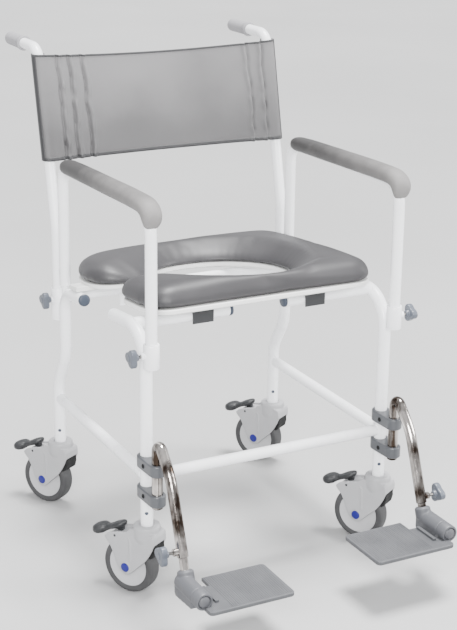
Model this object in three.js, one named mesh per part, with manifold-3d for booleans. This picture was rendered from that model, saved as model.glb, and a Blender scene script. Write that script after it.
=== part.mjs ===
// A wheeled commode chair, in millimetres, with +Z up and the front of the chair towards -Y. The dimensions
// below are measured from the floor point midway between the front legs, and the finished group is then moved
// so that its origin is on the floor under the middle of the whole chair. Each physical piece is one named
// mesh; a name that ends in L is on the -X side and one that ends in R on the +X side.
import * as THREE from "three";
import { mergeVertices } from "three/addons/utils/BufferGeometryUtils.js";
import Module from "manifold-3d";

const wasm = await Module();
wasm.setup();

// ---- driving dimensions ----
const GAP = 0.3; // clearance kept between touching pieces

const LEG_X = 234; // half the spacing of the leg centres
const LEG_R = 11; // frame tube radius
const POST_R = 10; // armrest and backrest tube radius
const REAR_Y = 402; // rear castor stems
const REAR_UPPER_Y = 361; // rear legs above their kink
const SEAT_Z = 485; // seat tube axis height over the front legs
const SEAT_SLOPE = 0.105; // fall of the seat tubes per unit of depth
const LEG_BOTTOM_Z = 120;
const FRONT_RAIL_Y = 50;
const RAIL_END_X = 56; // inner end of a front rail stub
const FRONT_STUB_Y = 134; // rear end of the stub behind a front leg
const REAR_STUB_Y = 269; // front end of the stub before a rear leg
const LOWER_RAIL_Z = 223;
const BACK_RAIL_Y = 318; // the rear rail joins the legs in front of their upper bend

const WHEEL_R = 50;
const TREAD_R = 38; // where the tyre meets the wheel disc
const WHEEL_W = 28;
const TRAIL = 32; // from the swivel axis to the axle
const SWIVEL_REST = THREE.MathUtils.degToRad(31);
const AXLE_R = 5;
const CHEEK_W = 40; // castor housing width
const FORK_W = 31.6; // room for the wheel in the housing
// From the foot of the swivel axis, with the wheel trailing along +Y.
const PEDAL_PIVOT = new THREE.Vector3(0, 54, 105);
const PEDAL_PIN_R = 2.5;

const HINGE_Y = -43; // footrest hinge pins
const PIN_R = 9.5;
const CLAMP_H = 21;
const CLAMP_Z = [197, 252]; // centres of the lower and the upper clamp
const SLIDE_R = 7.5; // footrest inner tube
const SLIDE_DIR = new THREE.Vector3(0, -0.36, -0.933).normalize(); // down the sloping part of a hanger

const ARM_X = 235.5;
const ARM_FRONT_Y = -25;
const ARM_REAR_Y = 354;
const ARM_Z = 688; // armrest tube axis
const SOCKET_R = 13.6; // outer radius of the sleeves that take the posts
const ARM_SOCKET_Z = [426, 468];

const BACK_X = 236;
const BACK_Y = 390;
const BACK_SOCKET_Z = [386, 446];
const BACK_BEND_Z = 555;
const BACK_TOP_Z = 879; // axis of the push handles
const BACK_LEAN = 0.222; // backward lean above the bend, per unit of height
const HANDLE_END_Y = 606;
const GRIP_START_Y = 532;
const SLING_Z = [682, 870];

const SEAT_HALF_W = 224;
const SEAT_FRONT_Y = -4;
const SEAT_REAR_Y = 408;
const SEAT_LIFT = LEG_R + 1; // from a seat tube's axis to the underside of the base
const BASE_T = 13;
const BASE_STEP = 5; // height of the narrower lower part of the base
const CUSHION_T = 39;

// ---- colours ----
const paint = { color: 0xf0f1f2, roughness: 0.32, metalness: 0 };
const chrome = { color: 0xb9b6b3, roughness: 0.12, metalness: 1 };
const housingPlastic = { color: 0xc6c7ca, roughness: 0.45, metalness: 0 };
const wheelPlastic = { color: 0xcbcccd, roughness: 0.45, metalness: 0 };
const rubber = { color: 0x646465, roughness: 0.75, metalness: 0 };
const pedalPlastic = { color: 0x55565a, roughness: 0.55, metalness: 0 };
const greyPlastic = { color: 0x96989c, roughness: 0.5, metalness: 0 };
const platePlastic = { color: 0xa6a7ab, roughness: 0.6, metalness: 0 };
const knobPlastic = { color: 0x8f969f, roughness: 0.4, metalness: 0 };
const clipPlastic = { color: 0x5e6063, roughness: 0.5, metalness: 0 };
const whitePlastic = { color: 0xe9e9e6, roughness: 0.4, metalness: 0 };
const padFoam = { color: 0xcfcfcd, roughness: 0.6, metalness: 0 };
const gripRubber = { color: 0xc9c8ca, roughness: 0.6, metalness: 0 };
const cushionSkin = { color: 0x9d9ca0, roughness: 0.4, metalness: 0 };
const slingCloth = { color: 0xb0b1b3, roughness: 0.7, metalness: 0 };

// ---- helpers ----
const V = (x, y, z) => new THREE.Vector3(x, y, z);
const chair = new THREE.Group();

function addMesh(parent, name, geometry, look) {
  const mesh = new THREE.Mesh(geometry, new THREE.MeshStandardMaterial(look));
  mesh.name = name;
  parent.add(mesh);
  return mesh;
}

function toSolid(geometry) {
  const bare = geometry.clone();
  bare.deleteAttribute("normal");
  bare.deleteAttribute("uv");
  const merged = mergeVertices(bare, 1e-3);
  return new wasm.Manifold(
    new wasm.Mesh({
      numProp: 3,
      vertProperties: merged.attributes.position.array,
      triVerts: new Uint32Array(merged.index.array),
    }),
  );
}

function toGeometry(solid) {
  const mesh = solid.getMesh();
  const geometry = new THREE.BufferGeometry();
  geometry.setAttribute("position", new THREE.BufferAttribute(mesh.vertProperties, 3));
  geometry.setIndex(new THREE.BufferAttribute(mesh.triVerts, 1));
  geometry.computeVertexNormals();
  return geometry;
}

const join = (...pieces) => toGeometry(pieces.map(toSolid).reduce((a, b) => a.add(b)));
const cut = (base, ...tools) => toGeometry(tools.map(toSolid).reduce((a, b) => a.subtract(b), toSolid(base)));
const common = (a, b) => toGeometry(toSolid(a).intersect(toSolid(b)));

// A path of straight runs joined by arcs: its points are the run ends and the steps round each bend.
class BentPath extends THREE.Curve {
  constructor(corners, bendRadius, bendSteps = 5) {
    super();
    this.points = [corners[0].clone()];
    this.tangents = [corners[1].clone().sub(corners[0]).normalize()];
    for (let i = 1; i < corners.length - 1; i++) {
      const into = corners[i].clone().sub(corners[i - 1]).normalize();
      const out = corners[i + 1].clone().sub(corners[i]).normalize();
      const radius = Array.isArray(bendRadius) ? bendRadius[i - 1] : bendRadius;
      const turn = into.angleTo(out);
      const axis = into.clone().cross(out).normalize();
      const start = corners[i].clone().addScaledVector(into, -radius * Math.tan(turn / 2));
      const toCentre = axis.clone().cross(into);
      const centre = start.clone().addScaledVector(toCentre, radius);
      for (let k = 0; k <= bendSteps; k++) {
        const angle = (turn * k) / bendSteps;
        const arm = start.clone().sub(centre).applyAxisAngle(axis, angle);
        this.points.push(centre.clone().add(arm));
        this.tangents.push(into.clone().applyAxisAngle(axis, angle));
      }
    }
    this.points.push(corners[corners.length - 1].clone());
    this.tangents.push(
      corners[corners.length - 1].clone().sub(corners[corners.length - 2]).normalize(),
    );
  }
  get steps() {
    return this.points.length - 1;
  }
  getSpacedPoints() {
    return this.points.map((p) => p.clone());
  }
  getTangentAt(u, target = new THREE.Vector3()) {
    return target.copy(this.tangents[Math.round(u * this.steps)]);
  }
}

function circle(radius, x = 0, y = 0) {
  const shape = new THREE.Shape();
  shape.absarc(x, y, radius, 0, Math.PI * 2);
  return shape;
}

// A round bar along corners, with its bends rounded; sides is the number of flats round it.
function bar(corners, radius, bendRadius = 30, sides = 12, bendSteps = 4) {
  const path = new BentPath(corners, bendRadius, bendSteps);
  return new THREE.ExtrudeGeometry(circle(radius), {
    steps: path.steps,
    curveSegments: sides / 2,
    extrudePath: path,
  });
}

// A prism on a shape, centred on the plane of the shape and depth thick.
function slab(shape, depth, curveSegments = 8) {
  const geometry = new THREE.ExtrudeGeometry(shape, { depth, bevelEnabled: false, curveSegments });
  return geometry.translate(0, 0, -depth / 2);
}

// The shape's plane turned so that its x runs along +Y and its y along +Z, with the depth along X.
const uprightYZ = (geometry) => geometry.rotateX(Math.PI / 2).rotateZ(Math.PI / 2);

function polygon(points) {
  return new THREE.Shape(points.map(([x, y]) => new THREE.Vector2(x, y)));
}

function turned(profile, segments) {
  return new THREE.LatheGeometry(
    profile.map(([r, z]) => new THREE.Vector2(r, z)),
    segments,
  ).rotateX(Math.PI / 2); // the lathe's axis becomes +Z
}

const seatZ = (y) => SEAT_Z - SEAT_SLOPE * y;

// ---- welded frame ----
function frontLeg(side) {
  const x = side * LEG_X;
  const leg = bar(
    [V(x, 0, LEG_BOTTOM_Z), V(x, 0, SEAT_Z), V(x, FRONT_STUB_Y, seatZ(FRONT_STUB_Y))],
    LEG_R,
    62,
    12,
    6,
  );
  const rail = bar([V(x, FRONT_RAIL_Y, SEAT_Z - 5), V(side * RAIL_END_X, FRONT_RAIL_Y, SEAT_Z - 5)], LEG_R);
  const [low, high] = ARM_SOCKET_Z;
  const sleeveX = side * ARM_X;
  const sleeve = bar([V(sleeveX, ARM_FRONT_Y, low), V(sleeveX, ARM_FRONT_Y, high)], SOCKET_R, 0, 16);
  const weld = new THREE.BoxGeometry(8, 8, high - low - 8).translate(x, -11, (low + high) / 2);
  const nut = bar([V(side * ARM_X, ARM_FRONT_Y, 449), V(side * (ARM_X + 19), ARM_FRONT_Y, 449)], 6, 0, 12);
  const bore = bar(
    [V(side * ARM_X, ARM_FRONT_Y, low - 1), V(side * ARM_X, ARM_FRONT_Y, high + 1)],
    POST_R + GAP,
    0,
    16,
  );
  const screwHole = bar(
    [V(side * ARM_X, ARM_FRONT_Y, 449), V(side * (ARM_X + 20), ARM_FRONT_Y, 449)],
    3.4,
    0,
    10,
  );
  return cut(join(leg, rail, sleeve, weld, nut), bore, screwHole);
}

function rearLeg(side) {
  const x = side * LEG_X;
  const kink = [V(x, REAR_Y, LEG_BOTTOM_Z), V(x, REAR_Y, 256), V(x, REAR_UPPER_Y, 322)];
  const top = [V(x, REAR_UPPER_Y, seatZ(REAR_UPPER_Y)), V(x, REAR_STUB_Y, seatZ(REAR_STUB_Y))];
  const leg = bar([...kink, ...top], LEG_R, [70, 70, 42], 12, 3);
  const [low, high] = BACK_SOCKET_Z;
  const sleeve = bar([V(side * BACK_X, BACK_Y, low), V(side * BACK_X, BACK_Y, high)], SOCKET_R, 0, 16);
  const weld = new THREE.BoxGeometry(8, 22, 34).translate(x, (REAR_UPPER_Y + BACK_Y) / 2, 412);
  const nut = bar([V(side * BACK_X, BACK_Y, 425), V(side * (BACK_X + 15), BACK_Y, 425)], 6, 0, 12);
  const bore = bar(
    [V(side * BACK_X, BACK_Y, low - 1), V(side * BACK_X, BACK_Y, high + 1)],
    POST_R + GAP,
    0,
    16,
  );
  const screwHole = bar([V(side * BACK_X, BACK_Y, 425), V(side * (BACK_X + 20), BACK_Y, 425)], 3.4, 0, 10);
  const spigot = bar([V(side * ARM_X, ARM_REAR_Y, 440), V(side * ARM_X, ARM_REAR_Y, 488)], 6.5, 0, 12);
  return cut(join(leg, sleeve, weld, nut, spigot), bore, screwHole);
}

// A plastic plug: a domed head just past the tube end at from, facing along direction.
function plug(from, direction) {
  const head = turned(
    [
      [0, GAP],
      [LEG_R, GAP],
      [LEG_R, 4],
      [LEG_R - 2.5, 6.5],
      [0, 7],
    ],
    12,
  );
  const turn = new THREE.Quaternion().setFromUnitVectors(V(0, 0, 1), direction.clone().normalize());
  return head.applyQuaternion(turn).translate(from.x, from.y, from.z);
}

for (const [side, tag] of [[-1, "L"], [1, "R"]]) {
  const x = side * LEG_X;
  addMesh(chair, `front_leg_${tag}`, frontLeg(side), paint);
  addMesh(chair, `rear_leg_${tag}`, rearLeg(side), paint);
  const railEnd = V(side * RAIL_END_X, FRONT_RAIL_Y, SEAT_Z - 5);
  addMesh(chair, `rail_plug_${tag}`, plug(railEnd, V(-side, 0, 0)), knobPlastic);
  const stubEnd = V(x, REAR_STUB_Y, seatZ(REAR_STUB_Y));
  addMesh(chair, `stub_plug_${tag}`, plug(stubEnd, V(0, -1, SEAT_SLOPE)), knobPlastic);
  const railFrom = V(x, LEG_R + 1, LOWER_RAIL_Z);
  const railTo = V(x, REAR_Y - LEG_R - 1, LOWER_RAIL_Z);
  addMesh(chair, `lower_side_rail_${tag}`, bar([railFrom, railTo], POST_R), paint);
}

const crossHalf = LEG_X - LEG_R - 1;
addMesh(
  chair,
  "front_cross_rail",
  bar([V(-crossHalf, 0, LOWER_RAIL_Z), V(crossHalf, 0, LOWER_RAIL_Z)], POST_R),
  paint,
);
const backRailZ = seatZ(BACK_RAIL_Y);
const backRail = bar([V(-crossHalf, BACK_RAIL_Y, backRailZ), V(crossHalf, BACK_RAIL_Y, backRailZ)], POST_R);
const hooks = [-1, 1].map((side) =>
  new THREE.BoxGeometry(12, 5, 40).translate(side * 132, BACK_RAIL_Y + 10, backRailZ - 16),
);
addMesh(chair, "rear_seat_rail", join(backRail, ...hooks), paint);

// ---- castors ----
function castorHousing() {
  const cheek = polygon([
    [-29, 126],
    [-30, 113],
    [-22, 94],
    [-5, 70],
    [12, 52],
    [20, 41],
    [28, 36],
    [38, 37],
    [47, 46],
    [54, 64],
    [64, 84],
    [76, 97],
    [68, 105],
    [58, 110],
    [46, 113],
    [24, 122],
  ]);
  const body = uprightYZ(slab(cheek, CHEEK_W));
  const collar = turned(
    [
      [0, 98],
      [24, 98],
      [24, 130],
      [21, 134],
      [0, 134],
    ],
    20,
  );
  const wheelRoom = uprightYZ(slab(circle(WHEEL_R + 4, TRAIL, WHEEL_R), FORK_W, 11));
  const openFront = polygon([[-40, 40], [TRAIL, 40], [TRAIL, 100], [-10, 108], [-40, 108]]);
  const frontRoom = uprightYZ(slab(openFront, FORK_W));
  const rearRoom = uprightYZ(slab(polygon([[TRAIL, 20], [84, 20], [84, 92], [TRAIL, 92]]), FORK_W));
  const noseTrim = turned([[25, 90], [60, 90], [60, 140], [25, 140], [25, 90]], 24);
  const noseSide = new THREE.BoxGeometry(140, 60, 60).translate(0, -40, 115);
  const nose = common(noseTrim, noseSide);
  const stem = bar([V(0, 0, LEG_BOTTOM_Z - 1), V(0, 0, 140)], LEG_R + GAP);
  const pedalRoom = new THREE.BoxGeometry(FORK_W + 2, 80, 44).translate(0, 72, 118);
  const [, pinY, pinZ] = PEDAL_PIVOT.toArray();
  const pinHole = bar([V(-CHEEK_W, pinY, pinZ), V(CHEEK_W, pinY, pinZ)], PEDAL_PIN_R + GAP, 0, 10);
  const axle = bar([V(-CHEEK_W / 2 - 2, TRAIL, WHEEL_R), V(CHEEK_W / 2 + 2, TRAIL, WHEEL_R)], AXLE_R, 0, 12);
  const shell = cut(join(body, collar), wheelRoom, frontRoom, rearRoom, nose, stem, pedalRoom, pinHole);
  return join(shell, axle);
}

function castorWheel() {
  const half = WHEEL_W / 2;
  const disc = turned(
    [
      [AXLE_R + GAP, -half],
      [11, -half],
      [14, -half + 3],
      [TREAD_R - GAP, -half + 2],
      [TREAD_R - GAP, half - 2],
      [14, half - 3],
      [11, half],
      [AXLE_R + GAP, half],
      [AXLE_R + GAP, -half],
    ],
    18,
  );
  return disc.rotateY(Math.PI / 2);
}

function castorTyre() {
  const half = WHEEL_W / 2;
  const tyre = turned(
    [
      [TREAD_R, -half + 0.6],
      [WHEEL_R - 5, -half],
      [WHEEL_R, -half + 5],
      [WHEEL_R, half - 5],
      [WHEEL_R - 5, half],
      [TREAD_R, half - 0.6],
      [TREAD_R, -half + 0.6],
    ],
    30,
  );
  return tyre.rotateY(Math.PI / 2);
}

// The brake pedal about its pin: two lobes above the housing, with a lever between the cheeks.
function castorPedal() {
  const above = new THREE.Shape();
  above.moveTo(-13, 3);
  above.absarc(0, 3, 13, Math.PI, Math.PI * 1.75, false);
  above.absarc(0, 3, 13, -Math.PI / 4, Math.PI / 4, false);
  above.lineTo(9, 23);
  above.absarc(0, 41, 17, -Math.PI * 0.3, Math.PI * 1.3, false);
  above.lineTo(-9, 23);
  above.absarc(0, 3, 13, Math.PI * 0.75, Math.PI, false);
  const sideways = polygon([
    [-11, 12],
    [7, 5],
    [26, -4],
    [41, -11],
    [53, -12],
    [58, -9],
    [58, -5],
    [50, 2],
    [39, 5],
    [27, 6],
    [9, 18],
    [-9, 22],
  ]);
  const lobes = common(slab(above, 80, 4), uprightYZ(slab(sideways, 60)));
  const lever = new THREE.BoxGeometry(14, 12, 12).translate(0, 0, 2);
  const pin = bar([V(1 - CHEEK_W / 2, 0, 0), V(CHEEK_W / 2 - 1, 0, 0)], PEDAL_PIN_R, 0, 10);
  return join(lobes, lever, pin);
}

const castorSpots = [
  ["FL", -LEG_X, 0],
  ["FR", LEG_X, 0],
  ["RL", -LEG_X, REAR_Y],
  ["RR", LEG_X, REAR_Y],
];
for (const [tag, x, y] of castorSpots) {
  const castor = new THREE.Group();
  castor.position.set(x, y, 0);
  castor.rotation.z = SWIVEL_REST;
  chair.add(castor);
  addMesh(castor, `castor_housing_${tag}`, castorHousing(), housingPlastic);
  addMesh(castor, `castor_wheel_${tag}`, castorWheel(), wheelPlastic).position.set(0, TRAIL, WHEEL_R);
  addMesh(castor, `castor_tyre_${tag}`, castorTyre(), rubber).position.set(0, TRAIL, WHEEL_R);
  const pedal = addMesh(castor, `brake_pedal_${tag}`, castorPedal(), pedalPlastic);
  pedal.position.copy(PEDAL_PIVOT);
}

// ---- footrests ----
// A clamp's outline holds the leg at the origin and the hinge pin in front of it.
function hingeClamp() {
  const outline = new THREE.Shape();
  outline.moveTo(16.5, 0);
  outline.absarc(0, 0, 16.5, 0, Math.PI, false);
  outline.absarc(0, HINGE_Y, 14.5, Math.PI, Math.PI * 2, false);
  const body = slab(outline, CLAMP_H, 7);
  const legBore = slab(circle(LEG_R + GAP), CLAMP_H + 2, 6);
  // the flats of this bore, not its corners, stand clear of the turning pin
  const boreR = (PIN_R + GAP) / Math.cos(Math.PI / 12);
  const pinBore = slab(circle(boreR, 0, HINGE_Y), CLAMP_H + 2, 6);
  return cut(body, legBore, pinBore);
}

const KNOB_LOBES = 3;
// A lobed hand knob on a threaded stud; the stud points along +X and ends at the origin.
function handKnob(studLength) {
  const outline = new THREE.Shape();
  const steps = KNOB_LOBES * 7;
  for (let i = 0; i < steps; i++) {
    const angle = (i / steps) * Math.PI * 2;
    const radius = 14.2 + 2.8 * Math.cos(KNOB_LOBES * angle);
    const x = radius * Math.cos(angle);
    const y = radius * Math.sin(angle);
    if (i === 0) outline.moveTo(x, y);
    else outline.lineTo(x, y);
  }
  const head = slab(outline, 11).translate(0, 0, -5.5);
  const hub = turned([[0, -0.5], [7, -0.5], [6, 6], [0, 6]], 12);
  const stud = turned([[0, 0], [2.9, 0], [2.9, studLength + 6], [0, studLength + 6]], 10);
  return join(head, hub, stud).translate(0, 0, -studLength - 6).rotateY(Math.PI / 2);
}

function placeKnob(parent, name, side, at, studLength) {
  const knob = addMesh(parent, name, handKnob(studLength), knobPlastic);
  knob.position.copy(at);
  if (side > 0) knob.rotation.z = Math.PI;
  return knob;
}

const HANGER_TOP_Z = 313; // where the lines of the pin and the upper run of a hanger cross
const HANGER_KNEE = V(0, -96, 256);
const HANGER_LENGTH = 129; // from the knee to the lower end
const SCREW_AT = 118; // the clamping screw, from the knee

function along(distance) {
  return HANGER_KNEE.clone().addScaledVector(SLIDE_DIR, distance);
}

function hanger(side) {
  const corners = [V(0, HINGE_Y, 181), V(0, HINGE_Y, HANGER_TOP_Z), HANGER_KNEE, along(HANGER_LENGTH)];
  const tube = bar(corners, PIN_R, [11, 110]);
  const boss = bar([along(SCREW_AT), along(SCREW_AT).add(V(side * 17, 0, 0))], 6.5, 0, 12);
  const bore = bar([along(24), along(HANGER_LENGTH + 4)], SLIDE_R + GAP, 0, 12);
  const screwHole = bar([along(SCREW_AT), along(SCREW_AT).add(V(side * 18, 0, 0))], 3.4, 0, 10);
  return cut(join(tube, boss), bore, screwHole);
}

// The inner tube and its hub are separate pieces; the hub's barrel lies along Y and carries the plate.
const slideTube = () => bar([along(40), along(162)], SLIDE_R, 0, 12);

const HUB_Z = 98;
const HUB_X = 4; // the barrel's axis lies a little outboard of the hanger
const HUB_R = 13.5;
const HUB_Y = [-147, -208];
const HINGE_PIN_R = 7;
function hub(side) {
  const socket = bar([along(146), along(171)], 12, 0, 12);
  const barrel = bar([V(side * HUB_X, HUB_Y[0], HUB_Z), V(side * HUB_X, HUB_Y[1], HUB_Z)], HUB_R, 0, 16);
  const skirt = uprightYZ(
    slab(polygon([[-140, 72], [-142, 100], [-156, 108], [-190, 98], [-204, 90], [-196, 72], [-150, 68]]), 18),
  ).translate(side * 6, 0, 0);
  const bore = bar([along(140), along(162.6)], SLIDE_R + GAP, 0, 12);
  const hingeBore = bar(
    [V(side * HUB_X, -174, HUB_Z), V(side * HUB_X, HUB_Y[1] - 1, HUB_Z)],
    HINGE_PIN_R + GAP,
    0,
    12,
  );
  return cut(join(socket, barrel, skirt), bore, hingeBore);
}

const PLATE_T = 7;
const PLATE_Z = 88; // top face of a lowered plate
function footPlate(side) {
  const inner = 153;
  const outline = new THREE.Shape();
  const corner = 8;
  outline.moveTo(-13, -166);
  outline.lineTo(-36, -166);
  outline.lineTo(-36, -137);
  outline.lineTo(-inner + corner, -137);
  outline.absarc(-inner + corner, -137 - corner, corner, Math.PI / 2, Math.PI, false);
  outline.lineTo(-inner, -249 + corner);
  outline.absarc(-inner + corner, -249 + corner, corner, Math.PI, Math.PI * 1.5, false);
  outline.absarc(3 - corner, -249 + corner, corner, Math.PI * 1.5, Math.PI * 2, false);
  outline.lineTo(3, -212);
  outline.lineTo(-13, -212);
  const plate = slab(outline, PLATE_T, 4).translate(0, 0, PLATE_Z - PLATE_T / 2);
  const knuckle = bar([V(HUB_X, HUB_Y[1] - 2, HUB_Z), V(HUB_X, -231, HUB_Z)], HUB_R - 1, 0, 16);
  const pin = bar([V(HUB_X, -176, HUB_Z), V(HUB_X, -220, HUB_Z)], HINGE_PIN_R, 0, 12);
  const strip = new THREE.BoxGeometry(6, 52, 5).translate(-22, -197, PLATE_Z + 2);
  const ribZ = PLATE_Z - PLATE_T;
  const ribs = [-60, -90, -120].map((x) => new THREE.BoxGeometry(3, 96, 4).translate(x, -194, ribZ));
  const right = join(plate, knuckle, pin, strip, ...ribs);
  return side > 0 ? right : mirrorX(right);
}

// Mirrors a geometry in the plane x = 0 and turns its faces back outwards.
function mirrorX(geometry) {
  const mirrored = geometry.clone().scale(-1, 1, 1);
  const index = mirrored.index.array;
  for (let i = 0; i < index.length; i += 3) {
    [index[i + 1], index[i + 2]] = [index[i + 2], index[i + 1]];
  }
  return mirrored;
}

const FOOT_RAISE = { L: 0, R: 14 }; // the right footrest is set a little shorter
for (const [side, tag] of [[-1, "L"], [1, "R"]]) {
  const x = side * LEG_X;
  addMesh(chair, `foot_clamp_lower_${tag}`, hingeClamp(), greyPlastic).position.set(x, 0, CLAMP_Z[0]);
  addMesh(chair, `foot_clamp_upper_${tag}`, hingeClamp(), greyPlastic).position.set(x, 0, CLAMP_Z[1]);
  const footrest = new THREE.Group();
  footrest.position.set(x, 0, 0);
  chair.add(footrest);
  addMesh(footrest, `foot_hanger_${tag}`, hanger(side), chrome);
  const screwAt = along(SCREW_AT).add(V(side * (SLIDE_R + 0.5), 0, 0));
  placeKnob(footrest, `foot_knob_${tag}`, side, screwAt, 17);
  const slide = new THREE.Group();
  slide.position.copy(SLIDE_DIR).multiplyScalar(-FOOT_RAISE[tag]);
  footrest.add(slide);
  addMesh(slide, `foot_slide_${tag}`, slideTube(), chrome);
  addMesh(slide, `foot_hub_${tag}`, hub(side), greyPlastic);
  addMesh(slide, `foot_plate_${tag}`, footPlate(side), platePlastic);
}

// ---- armrests ----
function armTube(side) {
  const x = side * ARM_X;
  const corners = [
    V(x, ARM_FRONT_Y, ARM_SOCKET_Z[0] + 6),
    V(x, ARM_FRONT_Y, ARM_Z),
    V(x, ARM_REAR_Y, ARM_Z),
    V(x, ARM_REAR_Y, 461),
  ];
  const tube = bar(corners, POST_R, 38, 12, 4);
  const bore = bar([V(x, ARM_REAR_Y, 450), V(x, ARM_REAR_Y, 500)], 6.5 + GAP, 0, 12);
  return cut(tube, bore);
}

function armPad(side) {
  const x = side * ARM_X;
  const width = 44;
  const profile = polygon([
    [345, 672],
    [343, 690],
    [330, 702],
    [300, 706],
    [60, 712],
    [0, 712],
    [-30, 702],
    [-46, 686],
    [-50, 674],
    [-45, 665],
    [-32, 661],
    [-14, 663],
    [-6, 671],
    [6, 681],
    [30, 683],
    [300, 677],
    [320, 670],
  ]);
  const body = uprightYZ(slab(profile, width)).translate(x, 0, 0);
  const top = new THREE.Shape();
  top.moveTo(-width / 2, 0);
  top.absarc(0, -30, width / 2, Math.PI, Math.PI * 2, false);
  top.absarc(0, 326, width / 2, 0, Math.PI, false);
  const rounded = common(body, slab(top, 200, 8).translate(x, 0, ARM_Z));
  const room = bar(
    [V(x, ARM_FRONT_Y, 600), V(x, ARM_FRONT_Y, ARM_Z), V(x, ARM_REAR_Y, ARM_Z), V(x, ARM_REAR_Y, 600)],
    POST_R + GAP,
    38,
  );
  return cut(rounded, room);
}

for (const [side, tag] of [[-1, "L"], [1, "R"]]) {
  addMesh(chair, `arm_tube_${tag}`, armTube(side), paint);
  addMesh(chair, `arm_pad_${tag}`, armPad(side), padFoam);
  const screwAt = V(side * (ARM_X + POST_R + 0.5), ARM_FRONT_Y, 449);
  placeKnob(chair, `arm_knob_${tag}`, side, screwAt, 13);
}

// ---- backrest ----
const backCorners = (side) => [
  V(side * BACK_X, BACK_Y, BACK_SOCKET_Z[0] + 4),
  V(side * BACK_X, BACK_Y, BACK_BEND_Z),
  V(side * BACK_X, backY(BACK_TOP_Z), BACK_TOP_Z),
  V(side * BACK_X, HANDLE_END_Y - 6, BACK_TOP_Z),
];
const BACK_BENDS = [120, 34];
const backY = (z) => BACK_Y + Math.max(0, z - BACK_BEND_Z) * BACK_LEAN;

const backTube = (side) => bar(backCorners(side), POST_R, BACK_BENDS, 12, 4);

// A push-handle grip slips over the end of a tube.
function grip(side) {
  const x = side * BACK_X;
  const body = turned(
    [
      [0, 0],
      [12, 0],
      [14, 2],
      [14, 6],
      [12.4, 8],
      [12.4, HANDLE_END_Y - GRIP_START_Y - 2],
      [11, HANDLE_END_Y - GRIP_START_Y],
      [0, HANDLE_END_Y - GRIP_START_Y],
    ],
    16,
  )
    .rotateX(-Math.PI / 2)
    .translate(x, GRIP_START_Y, BACK_TOP_Z);
  const bore = bar([V(x, GRIP_START_Y - 1, BACK_TOP_Z), V(x, HANDLE_END_Y - 5.5, BACK_TOP_Z)], POST_R + GAP);
  return cut(body, bore);
}

// The sling is one closed solid: a sagging panel that ends in a sleeve round each tube.
function sling() {
  const [low, high] = SLING_Z;
  const sleeveR = POST_R + 2.6;
  const outline = new THREE.Shape();
  const stations = 12;
  const sag = (x) => 30 * (1 - (x / BACK_X) ** 2);
  for (let i = 0; i <= stations; i++) {
    const x = -BACK_X + (2 * BACK_X * i) / stations;
    const y = sag(x) - 5;
    if (i === 0) outline.moveTo(x, y);
    else outline.lineTo(x, y);
  }
  for (let i = stations; i >= 0; i--) {
    const x = -BACK_X + (2 * BACK_X * i) / stations;
    outline.lineTo(x, sag(x) - 9);
  }
  const height = (high - low) * Math.sqrt(1 + BACK_LEAN ** 2);
  const panel = slab(outline, height);
  const middle = (low + high) / 2;
  panel.rotateX(-Math.atan(BACK_LEAN)).translate(0, backY(middle), middle);
  const band = new THREE.BoxGeometry(600, 100, high - low).translate(0, backY(middle), middle);
  const sleeves = [-1, 1].map((side) => common(bar(backCorners(side), sleeveR, BACK_BENDS, 12, 4), band));
  const bores = [-1, 1].map((side) => bar(backCorners(side), POST_R + GAP, BACK_BENDS, 12, 4));
  return cut(join(panel, ...sleeves), ...bores);
}

for (const [side, tag] of [[-1, "L"], [1, "R"]]) {
  addMesh(chair, `back_tube_${tag}`, backTube(side), paint);
  addMesh(chair, `push_grip_${tag}`, grip(side), gripRubber);
  const screwAt = V(side * (BACK_X + POST_R + 0.5), BACK_Y, 425);
  placeKnob(chair, `back_knob_${tag}`, side, screwAt, 5);
}
addMesh(chair, "back_sling", sling(), slingCloth);

// ---- seat ----
// The seat's outline seen from above: a rounded square with a keyhole that opens on -X.
function seatOutline(inset) {
  const w = SEAT_HALF_W - inset;
  const front = SEAT_FRONT_Y + inset;
  const rear = SEAT_REAR_Y - inset;
  const r = 48 - inset;
  const slotFront = 172 - inset;
  const slotRear = 238 + inset;
  const shape = new THREE.Shape();
  shape.moveTo(-w + r, front);
  shape.lineTo(w - r, front);
  shape.absarc(w - r, front + r, r, -Math.PI / 2, 0, false);
  shape.lineTo(w, rear - r);
  shape.absarc(w - r, rear - r, r, 0, Math.PI / 2, false);
  shape.lineTo(-w + 60, rear);
  shape.bezierCurveTo(-w + 20, rear - 6, -w, rear - 50, -w, slotRear + 62);
  shape.bezierCurveTo(-w, slotRear + 22, -w + 20, slotRear, -w + 58, slotRear);
  shape.lineTo(-142, slotRear);
  shape.bezierCurveTo(-104, slotRear, -104, 330 + inset, 2, 330 + inset);
  shape.bezierCurveTo(84, 330 + inset, 122 + inset, 268, 122 + inset, 196);
  shape.bezierCurveTo(122 + inset, 120, 78, 62 - inset, 4, 62 - inset);
  shape.bezierCurveTo(-96, 62 - inset, -96, slotFront, -142, slotFront);
  shape.lineTo(-w + 52, slotFront);
  shape.bezierCurveTo(-w + 18, slotFront, -w, slotFront - 20, -w, slotFront - 52);
  shape.lineTo(-w, front + r + 20);
  shape.bezierCurveTo(-w, front + 26, -w + 16, front, -w + r, front);
  return shape;
}

const SEAT_TILT = -Math.atan(SEAT_SLOPE);
const seat = new THREE.Group();
seat.position.set(0, 0, SEAT_Z + SEAT_LIFT * Math.sqrt(1 + SEAT_SLOPE ** 2));
seat.rotation.x = SEAT_TILT;
chair.add(seat);
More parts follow.
